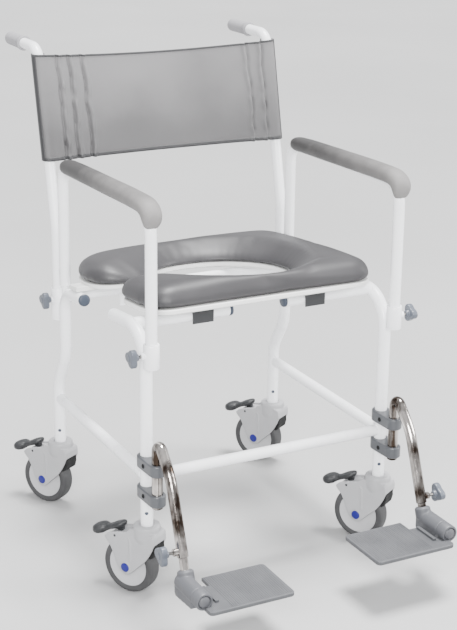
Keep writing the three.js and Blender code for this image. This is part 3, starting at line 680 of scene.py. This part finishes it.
def castor_meshes():
    """The housing's mesh and the forms of wheel, tyre, axle caps, pedal pin ends and a near-black block of painted
    shade inside the fork.
    """
    housing = Form()
    cheek = [(-24, 122), (-26, 116), (-26.5, 105), (-22, 93), (-16, 81.5), (-7, 69), (8, 54.5), (19, 43), (25, 37.5),
             (33, 35.5), (41, 38.5), (47, 45), (52, 56), (57, 70), (64, 83.5), (75, 96), (76, 99.5), (70, 105.5),
             (60, 110), (46, 113.5), (30, 117.5), (24, 124), (0, 128)]
    for low, high in ((-CHEEK, -FORK), (FORK, CHEEK)):
        housing.prism(cheek, low, high, "X")
    top = [(-24, 122), (-26, 116), (-26.4, 107)]
    top += arc(TRAIL, WHEEL_R, 54, 124, 95, 6) + [(30, 116), (24, 123), (0, 128)]
    housing.prism(top, -CHEEK, CHEEK, "X")
    housing.prism([(-23, 119), (-26, 116), (-26.5, 104), (-23, 104)], -CHEEK, CHEEK, "X")
    housing.prism([(22, 101), (66, 98), (70, 103), (60, 107.6), (46, 109), (22, 112)], -CHEEK, CHEEK, "X")
    housing.lathe([(0.5, 99), (16, 99), (20, 102), (23, 110), (24, 118), (24, 129), (23, 132.4), (20.4, 134),
                   (12.5, 134), (12.2, 133), (12.2, 131), (0.5, 131)], (0, 0, 0))
    boss = [(0.5, 15), (10, 15), (10, 20.6), (9.4, 21.2), (0.5, 21.2)]
    for direction in (-1, 1):
        housing.lathe(boss, (0, TRAIL, WHEEL_R), Vector((direction, 0, 0)), 40)
        rib = [(24, 108), (21, 104), (20, 66), (22, 62), (23.4, 66), (24, 104), (27, 108)]
        housing.prism(rib, *sorted((direction * 17, direction * 21.2)), "X")
    housing_mesh = fused(housing, 0.9, 6, housing_grey)

    wheel = Form()
    wheel.lathe([(5.3, -14), (10, -14), (11.5, -13.4), (13, -11.6), (34, -11.2), (36, -12.2), (37.7, -12.4),
                 (37.7, 12.4), (36, 12.2), (34, 11.2), (13, 11.6), (11.5, 13.4), (10, 14), (5.3, 14), (5.3, -14)],
                (0, 0, 0), "X", 96)
    tyre = Form()
    tread = [(TREAD_R, -12.6), (42, -13.8), (45.5, -14), (48.2, -12.8), (49.6, -9.8), (50, -5), (50, 5), (49.6, 9.8),
             (48.2, 12.8), (45.5, 14), (42, 13.8), (TREAD_R, 12.6), (TREAD_R, -12.6)]
    tyre.lathe(tread, (0, 0, 0), "X", 96)

    caps = Form()
    for direction in (-1, 1):
        caps.lathe([(0.3, 20.8), (8.3, 20.8), (8.3, 21.8), (7.2, 22.7), (4, 23.1), (0.3, 23.2)], (0, TRAIL, WHEEL_R),
                   Vector((direction, 0, 0)), 32)
    pins = Form()
    for direction in (-1, 1):
        pins.lathe([(0.3, 19.4), (2.4, 19.4), (2.3, 20.3), (1.6, 20.7), (0.3, 20.8)], (0, PEDAL_Y, PEDAL_Z),
                   Vector((direction, 0, 0)), 20)
    # painted shade: a near-black block fills the fork's opening, where the housing's inside lies in shade
    fork_shade_block = Form()
    fork_shade_block.prism([(-21, 106), (-24.6, 103), (-25.6, 92), (-22.5, 80), (-17, 76.5), (-10, 83), (-10, 106)],
                 -FORK + 0.2, FORK - 0.2, "X")
    return housing_mesh, wheel, tyre, caps, pins, fork_shade_block


def pedal_mesh():
    """Two soft lobes lofted from front to rear: (y, z centre, half width, half height), about the pedal's pin."""
    sections = [(-9.5, 17.5, 3, 2.6), (-8, 17, 8, 4.4), (-3, 15.5, 12, 5.6), (4, 12.4, 13.4, 6.2), (11, 9.6, 12.6, 6),
                (18, 6, 10, 5.6), (24, 2.6, 8.8, 5.6), (29, 0.4, 10.4, 6.4), (34, -1.6, 14.6, 8.4),
                (41, -3.2, 17.4, 9.4), (48, -4.6, 16.4, 8.6), (53, -5.4, 12.4, 6.8), (56.6, -6, 7.2, 4.2),
                (57.8, -6, 2.4, 1.6)]
    form = Form()
    form.loft([[(u, y, z + v) for u, v in oval(28, wide, tall, 0.8, 0.75)] for y, z, wide, tall in sections])
    form.prism([(-5, -4), (5, -4), (5, 9), (-5, 11)], -5, 5, "X")
    return fused(form, 0.9, 5, pedal_dark)


housing_mesh, wheel_form, tyre_form, cap_form, pin_form, fork_shade_form = castor_meshes()
pedal = pedal_mesh()
for tag, x, y in (("FL", -LEG_X, 0), ("FR", LEG_X, 0), ("RL", -LEG_X, REAR_Y), ("RR", LEG_X, REAR_Y)):
    stand = Matrix.Translation(Vector((x, y, 0)) * MM) @ Matrix.Rotation(SWIVEL, 4, "Z")
    axle = stand @ Matrix.Translation(Vector((0, TRAIL, WHEEL_R)) * MM)
    body = f"castor_{tag}"
    show(f"castor_body_{tag}", housing_mesh, None, body, f"castor_housing_{tag}", stand)
    # the painted shade inside the fork
    show(f"castor_fork_shade_{tag}", fork_shade_form, fork_shade_and_screw_black, body, matrix=stand)
    show(f"axle_caps_{tag}", cap_form, cap_blue, body, matrix=stand)
    show(f"pedal_pin_ends_{tag}", pin_form, clip_dark, body, matrix=stand)
    show(f"wheel_disc_{tag}", wheel_form, wheel_grey, f"wheel_{tag}", f"castor_wheel_{tag}", axle)
    show(f"wheel_tread_{tag}", tyre_form, rubber, f"wheel_{tag}", f"castor_tyre_{tag}", axle)
    pivot = stand @ Matrix.Translation(Vector((0, PEDAL_Y, PEDAL_Z)) * MM)
    show(f"pedal_lobes_{tag}", pedal, None, f"pedal_{tag}", f"brake_pedal_{tag}", pivot)


# ---- hand knobs ----
THREAD_PITCH, THREAD_CORE_R, THREAD_R = 1.25, 2.5, 2.9


def knob_mesh(stud, middle=14.2, lobe=2.8):
    """A three-lobed head on a threaded stud; the stud ends at the origin and the head is towards -X."""
    form = Form()
    count = 84
    for low, high, grow in ((-11, -9.6, -1.2), (-9.8, -1.2, 0), (-1.4, 0, -1.2)):
        outline = []
        for k in range(count):
            a = 2 * math.pi * k / count
            r = middle + lobe * math.cos(3 * a) + grow
            outline.append((r * math.cos(a), r * math.sin(a)))
        form.prism(outline, low - stud - 6, high - stud - 6, "X")
    form.lathe([(0.3, 0), (7, 0), (6.6, 3), (5.6, 6), (0.3, 6)], (-stud - 6, 0, 0), "X", 40)
    form.lathe([(0.3, -1.4), (5.2, -1.4), (5.6, -0.6), (5.6, 1.5), (0.3, 1.5)], (-stud - 17, 0, 0), "X", 40)
    head = fused(form, 0.8, 7, knob_grey)
    thread = Form()
    profile = [(0.3, 0)]
    for k in range(int((stud + 2) / THREAD_PITCH)):
        profile += [(THREAD_CORE_R, k * THREAD_PITCH), (THREAD_R, k * THREAD_PITCH + 0.6)]
    profile += [(THREAD_CORE_R, stud + 3), (0.3, stud + 3)]
    thread.lathe(profile, (-stud - 3, 0, 0), "X", 28)
    return head, thread


def add_knob(name, side, at, meshes, body):
    head, thread = meshes
    turn = Matrix.Translation(Vector(at) * MM) @ (Matrix.Rotation(math.pi, 4, "Z") if side > 0 else Matrix())
    show(f"{name}_head", head, None, body, name, turn)
    show(f"{name}_stud", thread, screw_steel, body, matrix=turn)


long_knob, arm_knob, short_knob = knob_mesh(17, 15.6, 3.0), knob_mesh(13), knob_mesh(5)


# ---- footrests ----
def along(distance):
    """A point of the slide's line, by its distance below the knee of the hanger."""
    return KNEE + SLIDE_DIR * distance


def bar(x_middle, half_w, front_y, rear_y):
    """A straight bar's outline, seen from above."""
    return [(x_middle - half_w, front_y), (x_middle + half_w, front_y), (x_middle + half_w, rear_y),
            (x_middle - half_w, rear_y)]


PLATE_X, PLATE_FRONT_Y, PLATE_REAR_Y, PLATE_CORNER_R = (5, 145), -241, -145, 8
KNOB_ON_HANGER, HUB_BARREL_R, HUB_HALF_SKIRT = 118, 15.2, 13

for side, tag in SIDES:
    x = side * LEG_X
    leg_at = Vector((x, 0, 0))
    for level, z in CLAMP_LEVELS:
        clamp = Form()
        outline = arc(0, 0, CLAMP_LEG_R, 0, 180, 24) + arc(0, HINGE_Y, CLAMP_PIN_R, 180, 360, 24)
        clamp.prism(outline, z - CLAMP_HALF_H, z + CLAMP_HALF_H, at=(x, 0, 0))
        show(f"clamp_{level}_{tag}", clamp, clamp_grey, "frame", f"foot_clamp_{level}_{tag}",
             bevel=2.2)
        screw = Form()
        for offset, direction in ((15.4, Vector((1, 0, 0))), (-15.4, Vector((-1, 0, 0)))):
            screw.lathe([(0.3, 0), (4, 0), (4, 1.2), (3.2, 1.9), (1.8, 1.9), (1.6, 0.9), (0.3, 0.9)],
                        (x + offset * 0.98, -20, z), direction, 24)
        show(f"clamp_screw_{level}_{tag}", screw, fork_shade_and_screw_black, "frame")
    hang = Form()
    hang.tube([(x, HINGE_Y, 181), (x, HINGE_Y, 313), KNEE + leg_at, along(129) + leg_at], PIN_R, [11, 110], steps=20)
    screw_at = along(KNOB_ON_HANGER) + leg_at
    hang.tube([screw_at + Vector((side * 7, 0, 0)), screw_at + Vector((side * 17, 0, 0))], 6.5)
    show(f"hanger_tube_{tag}", hang, chrome, f"footrest_{tag}", f"foot_hanger_{tag}")
    add_knob(f"foot_knob_{tag}", side, screw_at + Vector((side * 8, 0, 0)), long_knob, f"foot_knob_{tag}")

    raised = SLIDE_DIR * -FOOT_RAISE[tag]
    inner = Form()
    inner.tube([along(40) + leg_at + raised, along(162) + leg_at + raised], 7.5)
    show(f"slide_tube_{tag}", inner, chrome, f"foot_slide_{tag}", f"foot_slide_{tag}")
    hub = Form()
    hub.tube([along(149), along(171)], 14, round_end=3)
    hx = side * HUB_X
    hub.lathe([(7.3, -208.5), (7.3, -175), (0.5, -175), (0.5, -145), (13, -145), (HUB_BARREL_R, -148),
               (HUB_BARREL_R, -207.4), (14.4, -208.5), (7.3, -208.5)], (hx, 0, HUB_Z), "Y", 56)
    skirt = [(-145, 78), (-145, 100), (-154, 108), (-190, 99), (-206, 92), (-206, 77), (-150, 73)]
    hub.prism(skirt, hx - HUB_HALF_SKIRT, hx + HUB_HALF_SKIRT, "X")
    hub_mesh = fused(hub, 1.0, 5, mid_grey)
    at_hub = Matrix.Translation((leg_at + raised) * MM)
    show(f"hub_body_{tag}", hub_mesh, None, f"foot_slide_{tag}", f"foot_hub_{tag}", at_hub)

    flip = -side
    plate = Form()
    outline = [(13, -166), (36, -166), (36, -137)]
    for px, py, start, end in ((PLATE_X[1], PLATE_REAR_Y, 90, 0), (PLATE_X[1], PLATE_FRONT_Y, 0, -90),
                               (PLATE_X[0], PLATE_FRONT_Y, 270, 180)):
        outline += [(px + a, b) for a, b in arc(0, py, PLATE_CORNER_R, start, end, 8)]
    outline += [(-3, -212), (13, -212)]
    plate.prism([(flip * a, b) for a, b in outline], PLATE_LOW, PLATE_TOP)
    ribs = Form()
    for k in range(27):
        ribs.prism(bar(flip * (40 + k * 4.1), 0.9, -244, -141), PLATE_TOP - 0.4, PLATE_TOP + 0.5)
    for px in (60, 90, 120):
        ribs.prism(bar(flip * px, 1.5, -242, -146), PLATE_LOW - 2, PLATE_LOW + 0.4)
    ribs.prism(bar(flip * 22, 3, -223, -171), PLATE_TOP - 0.5, PLATE_TOP + 4.4)
    knuckle = Form()
    knuckle.lathe([(0.5, -209.2), (14.4, -209.2), (HUB_BARREL_R, -210), (HUB_BARREL_R, -228), (14.2, -230),
                   (12, -230.6), (11.2, -228), (10.4, -227.2), (9.8, -229.4), (8, -231), (4, -232), (0.5, -232.2)],
                  (hx, 0, HUB_Z), "Y", 56)
    show(f"plate_slab_{tag}", plate, plate_ribbed, f"foot_plate_{tag}", f"foot_plate_{tag}", at_hub,
         bevel=1.4)
    show(f"plate_ribs_{tag}", ribs, plate_ribbed, f"foot_plate_{tag}", matrix=at_hub, bevel=0.35)
    show(f"plate_knuckle_{tag}", knuckle, mid_grey, f"foot_plate_{tag}", matrix=at_hub)

    # armrests
    ax = side * ARM_X
    arm = Form()
    arm.tube([(ax, ARM_FRONT_Y, 432), (ax, ARM_FRONT_Y, ARM_Z), (ax, ARM_REAR_Y, ARM_Z), (ax, ARM_REAR_Y, 461)],
             POST_R, 38, steps=16)
    show(f"arm_bow_{tag}", arm, paint, f"armrest_{tag}", f"arm_tube_{tag}")
    add_knob(f"arm_knob_{tag}", side, (side * (ARM_X + 10.5), ARM_FRONT_Y, 449), arm_knob, f"arm_knob_{tag}")
    add_knob(f"back_knob_{tag}", side, (side * (BACK_X + 10.5), BACK_Y, 425), short_knob, f"back_knob_{tag}")


def arm_pad_form(x):
    """An arm pad lofted over its sections: (y, z of the centre, half width, half height, tilt from upright)."""
    stations = [(-26, 661.5, 5, 2, 90), (-27, 663, 11, 6, 88), (-28, 668, 15, 10, 84), (-30, 676, 17.5, 12.6, 72),
                (-28, 685, 18.6, 14, 55), (-20, 692.6, 19, 14.6, 34), (-6, 696.6, 19.2, 14.6, 14),
                (14, 697.4, 19.4, 14, 3), (60, 697, 19.4, 13.8, 0), (130, 695, 19.2, 13.6, 0),
                (220, 692.6, 19, 13.6, 0), (290, 690.6, 18.6, 13.8, 0), (320, 689, 17.6, 14, 0),
                (334, 688, 15, 12.6, 0), (342, 687.2, 10, 9.4, 0), (345, 687, 4, 4, 0)]
    rings = []
    for y, z, wide, tall, lean in stations:
        down, up = math.sin(math.radians(lean)), math.cos(math.radians(lean))
        rings.append([(x + u, y - v * down, z + v * up) for u, v in oval(36, wide, tall, 0.9, 0.9)])
    form = Form()
    form.loft(rings)
    return form


# ---- soft goods ----
CLOTH = {"quality": 6, "mass": 0.35, "tension_stiffness": 24, "compression_stiffness": 24, "shear_stiffness": 8,
         "bending_stiffness": 6, "use_pressure": True}
CLOTH_FRAMES = 20


def points_of(mesh):
    """The places of a mesh's points, one row each."""
    flat = np.zeros(len(mesh.vertices) * 3)
    mesh.vertices.foreach_get("co", flat)
    return flat.reshape(-1, 3)


def puffed(mesh, voxel, pressure, most, smooth):
    """Inflates a closed mesh with Blender's cloth solver and keeps each point within most of where it was."""
    rest = remeshed(mesh, "puffing", voxel, smooth)
    start = points_of(rest)
    obj = in_scene("puffing", rest)
    cloth = obj.modifiers.new("cloth", "CLOTH")
    for setting, value in CLOTH.items():
        setattr(cloth.settings, setting, value)
    cloth.settings.uniform_pressure_force = pressure
    cloth.settings.effector_weights.gravity = 0
    cloth.collision_settings.use_collision = False
    cloth.point_cache.frame_start = 1
    cloth.point_cache.frame_end = CLOTH_FRAMES
    for step in range(1, CLOTH_FRAMES + 1):
        bpy.context.scene.frame_set(step)
    made = baked(obj)
    bpy.context.scene.frame_set(1)
    move = points_of(made) - start
    length = np.linalg.norm(move, axis=1, keepdims=True)
    move *= np.minimum(1, most * MM / np.maximum(length, 1e-9))
    made.vertices.foreach_set("co", (start + move).ravel())
    return made


def bezier(a, b, c, d, count):
    """Points of a cubic curve after its start."""
    t = np.linspace(0, 1, count + 1)[1:, None]
    a, b, c, d = (np.array(p, float) for p in (a, b, c, d))
    return [tuple(p) for p in (1 - t) ** 3 * a + 3 * (1 - t) ** 2 * t * b + 3 * (1 - t) * t**2 * c + t**3 * d]


def seat_outline(inset, fine=14):
    """The keyhole outline of the seat, seen from above, moved in by inset."""
    w, front, rear = SEAT_HALF_W - inset, SEAT_FRONT_Y + inset, SEAT_REAR_Y - inset
    r, near, far = 48 - inset, 172 - inset, 238 + inset
    low, high, right = 62 - inset, 330 + inset, 122 + inset
    line = [(-w + r, front)] + arc(w - r, front + r, r, -90, 0, fine) + arc(w - r, rear - r, r, 0, 90, fine)
    line.append((-w + 60, rear))
    line += bezier(line[-1], (-w + 20, rear - 6), (-w, rear - 50), (-w, far + 62), fine)
    line += bezier(line[-1], (-w, far + 22), (-w + 20, far), (-w + 58, far), fine)
    line.append((-142, far))
    line += bezier(line[-1], (-104, far), (-104, high), (2, high), fine)
    line += bezier(line[-1], (84, high), (right, 268), (right, 196), fine)
    line += bezier(line[-1], (right, 120), (78, low), (4, low), fine)
    line += bezier(line[-1], (-96, low), (-96, near), (-142, near), fine)
    line.append((-w + 52, near))
    line += bezier(line[-1], (-w + 18, near), (-w, near - 20), (-w, near - 52), fine)
    line.append((-w, front + r + 20))
    line += bezier(line[-1], (-w, front + 26), (-w + 16, front), (-w + r, front), fine)[:-1]
    return line


def distance_to(points, line):
    """The distance from each point to a closed outline."""
    a = np.array(line)
    b = np.roll(a, -1, axis=0)
    along_line = b - a
    size = np.maximum((along_line**2).sum(1), 1e-9)
    best = np.full(len(points), 1e9)
    for start, run, length in zip(a, along_line, size):
        t = np.clip(((points - start) @ run) / length, 0, 1)
        best = np.minimum(best, np.linalg.norm(points - start - t[:, None] * run, axis=1))
    return best


SEAT_AT = Matrix.Translation(Vector((0, 0, SEAT_Z + (LEG_R + 1) * math.sqrt(1 + SEAT_SLOPE**2))) * MM)
SEAT_AT = SEAT_AT @ Matrix.Rotation(SEAT_TILT, 4, "X")


DISH_REACH, DISH_DEPTH, CROWN_REACH, CROWN = 62, 24, 60, 2.5


def cushion_mesh():
    """A crowned pad, thick over the sides and dished towards the opening, then puffed as filled cloth."""
    form = Form()
    for inset, top in ((3, 16), (7, 25), (12, 31), (20, CUSHION_T - 3)):
        form.prism(seat_outline(inset), BASE_T + 0.6, BASE_T + top)
    made = puffed(mesh_of("cushion", form), voxel=4.5, pressure=4.0, most=6.0, smooth=14)
    co = points_of(made) / MM
    line = seat_outline(0)
    hole = np.array([p for p in line if -146 < p[0] < 130 and 60 < p[1] < 332])
    from_hole = np.min(np.linalg.norm(co[:, None, :2] - hole[None], axis=2), axis=1)
    from_edge = distance_to(co[:, :2], line)
    height = np.clip((co[:, 2] - BASE_T) / CUSHION_T, 0, 1)
    dish = np.clip(1 - from_hole / DISH_REACH, 0, 1) ** 1.5 * DISH_DEPTH
    crown = np.clip(from_edge / CROWN_REACH, 0, 1) * CROWN
    co[:, 2] += height * (crown - dish)
    co[:, 2] = np.clip(co[:, 2], BASE_T + 0.4, BASE_T + CUSHION_T + 3)
    made.vertices.foreach_set("co", (co * MM).ravel())
    made.shade_smooth()
    return made


cushion = show("seat_pad", cushion_mesh(), None, "seat", "seat_cushion", SEAT_AT,
               modifiers=rounded_off(8))
cushion.data.materials.append(skin)

base = Form()
base.prism(seat_outline(7), BASE_STEP, BASE_T)
show("seat_rim", base, base_white, "seat", "seat_base", SEAT_AT, bevel=1.6)
step = Form()
step.prism(seat_outline(24), 0.2, BASE_STEP + 0.4)
show("seat_underside", step, base_white, "seat", matrix=SEAT_AT, bevel=0.8)
LUG_X, CLIP_X, CLIP_HALF_W = 218, 110, 20
lugs = Form()
for side, _ in SIDES:
    lugs.prism(bar(side * LUG_X, 22, 288, 324), 0.1, 9)
show("seat_lugs", lugs, base_white, "seat", matrix=SEAT_AT, bevel=1.2)

for side, tag in SIDES:
    clip = Form()
    outline = [(-13, -13), (-11.3, -13)] + arc(0, 0, 11.3, 180, 0, 24)
    outline += [(11.3, -13), (13, -13), (13, 13), (11, 15), (-11, 15), (-13, 13)]
    clip.prism(outline, side * CLIP_X - CLIP_HALF_W, side * CLIP_X + CLIP_HALF_W, "X", (0, FRONT_RAIL_Y, SEAT_Z - 5))
    show(f"rail_grip_{tag}", clip, clip_dark, "seat", f"seat_clip_{tag}", bevel=0.9)

for side, tag in SIDES:
    mesh = mesh_of(f"pad_{tag}", arm_pad_form(side * ARM_X))
    soft = puffed(mesh, voxel=4.0, pressure=3.0, most=2.0, smooth=3)
    soft.shade_smooth()
    soft.materials.append(pad_foam)
    pad = show(f"arm_cushion_{tag}", soft, None, f"armrest_{tag}", f"arm_pad_{tag}",
               modifiers=rounded_off(3))

    # back tubes and their grips
    back = Form()
    bx = side * BACK_X
    back.tube([(bx, BACK_Y, 390), (bx, BACK_Y, BACK_BEND_Z), (bx, back_y(BACK_TOP_Z), BACK_TOP_Z),
               (bx, HANDLE_END_Y - 6, BACK_TOP_Z)], POST_R, [120, 34], steps=16)
    show(f"back_bow_{tag}", back, paint, "backrest", f"back_tube_{tag}")
    grip = Form()
    profile = [(10.3, 0), (12, 0), (13.6, 0.8), (14, 2), (14, 5), (13.2, 6.6), (12.4, 8)]
    for k in range(9):
        y = 14 + 6 * k
        profile += [(12.4, y), (11.9, y + 0.8), (11.9, y + 1.8), (12.4, y + 2.6)]
    profile += [(12.4, 71), (11.8, 73), (10.4, 74), (0.4, 74), (0.4, 69), (10.3, 69), (10.3, 0)]
    grip.lathe(profile, (bx, GRIP_START_Y, BACK_TOP_Z), "Y", 48)
    show(f"handle_grip_{tag}", grip, grip_soft, "backrest", f"push_grip_{tag}")


# ---- back sling ----
CLOTH_M, BAND_M = 0.0012, 0.001  # thickness of the cloth and of its bound edges, in metres
BAND_GAP = 1.1
PLEATS = {-1: (199, 174, 147), 1: (211, 183)}  # stitched folds: distances from the middle, beside each tube


def fold_depth(x, z):
    """The pleats beside each tube: ridges that wander a little, each with a groove on its outer side."""
    depth = 0.0
    for side, folds in PLEATS.items():
        for number, fold in enumerate(folds):
            wander = 3.2 * noise.noise(Vector((number * 7.3 + side, 0, z * 0.03)))
            swell = 1 + 0.7 * noise.noise(Vector((number * 3.1 - side, 5, z * 0.05)))
            away = side * x - fold - wander
            groove = 4.4 * math.exp(-(((away - 5.5) / 3.0) ** 2))
            ridge = 4.2 * math.exp(-((away / 3.6) ** 2))
            depth += swell * (groove - ridge)
    return depth


def sling_line(x, z):
    """How far the front of the cloth lies behind the line between the tubes' fronts."""
    share = (z - SLING_Z[0]) / (SLING_Z[1] - SLING_Z[0])
    inner = max(0.0, 1 - (abs(x) / (BACK_X - 8)) ** 2)
    sag = (12 + 18 * share**1.5) * inner + fold_depth(x, z) * min(1.0, inner * 12)
    return sag + 1.4 * noise.noise(Vector((x * 0.012, z * 0.02, 3.0))) * inner


def sling_rows(levels, gap=0.0, turns=15, spans=240):
    """Points of the cloth from the back of one sleeve, round both tubes, at each share of its height."""
    radius = SLEEVE_R + gap
    angles = np.radians(np.linspace(20, 270, turns))
    path = [(-BACK_X, a) for a in angles]
    path += [(x, None) for x in np.linspace(-BACK_X + 3, BACK_X - 3, spans)]
    path += [(BACK_X, math.pi - a) for a in angles[::-1]]
    low, high = SLING_Z
    rows = []
    for share in levels:
        row = []
        for x, a in path:
            z = low + (high - low) * share
            z -= 11 * max(0.0, 1 - (abs(x) / BACK_X) ** 2) * share**2
            if a is None:
                row.append((x, back_y(z) - radius + sling_line(x, z), z))
            else:
                row.append((x + radius * math.cos(a), back_y(z) + radius * math.sin(a), z))
        rows.append(row)
    return rows


def woven(rows):
    """An open skin over rows of points."""
    n = len(rows[0])
    form = Form()
    form.add(
        [point for row in rows for point in row],
        [[i * n + k, i * n + k + 1, (i + 1) * n + k + 1, (i + 1) * n + k] for i in range(len(rows) - 1)
         for k in range(n - 1)],
    )
    return form


def binding(low_share, high_share):
    """A folded band along one edge of the cloth, lying just in front of it."""
    return woven(sling_rows(np.linspace(low_share, high_share, 4), BAND_GAP))


def edging(name, form):
    return show(name, form, hem_cloth, "backrest", sharp=80, modifiers=thickened(BAND_M))


sling = show("back_cloth", woven(sling_rows(np.linspace(0, 1, 61))), sling_cloth, "backrest", "back_sling",
             sharp=80, modifiers=thickened(CLOTH_M))
edge_bands = Form()
for side, _ in SIDES:
    band_r = SLEEVE_R + BAND_GAP
    band = woven([[(side * (BACK_X + band_r * math.cos(a)), back_y(z) - band_r * math.sin(a), z)
                   for a in np.radians(np.linspace(-28, 42, 7))]
                  for z in np.linspace(SLING_Z[0] + 0.5, SLING_Z[1] - 0.5, 40)])
    edge_bands.add(band.verts, band.faces)
side_bands = edging("back_edge_bands", edge_bands)
lower_hem = edging("back_hem_lower", binding(0.0, 0.036))
upper_hem = edging("back_hem_upper", binding(0.98, 1.0))
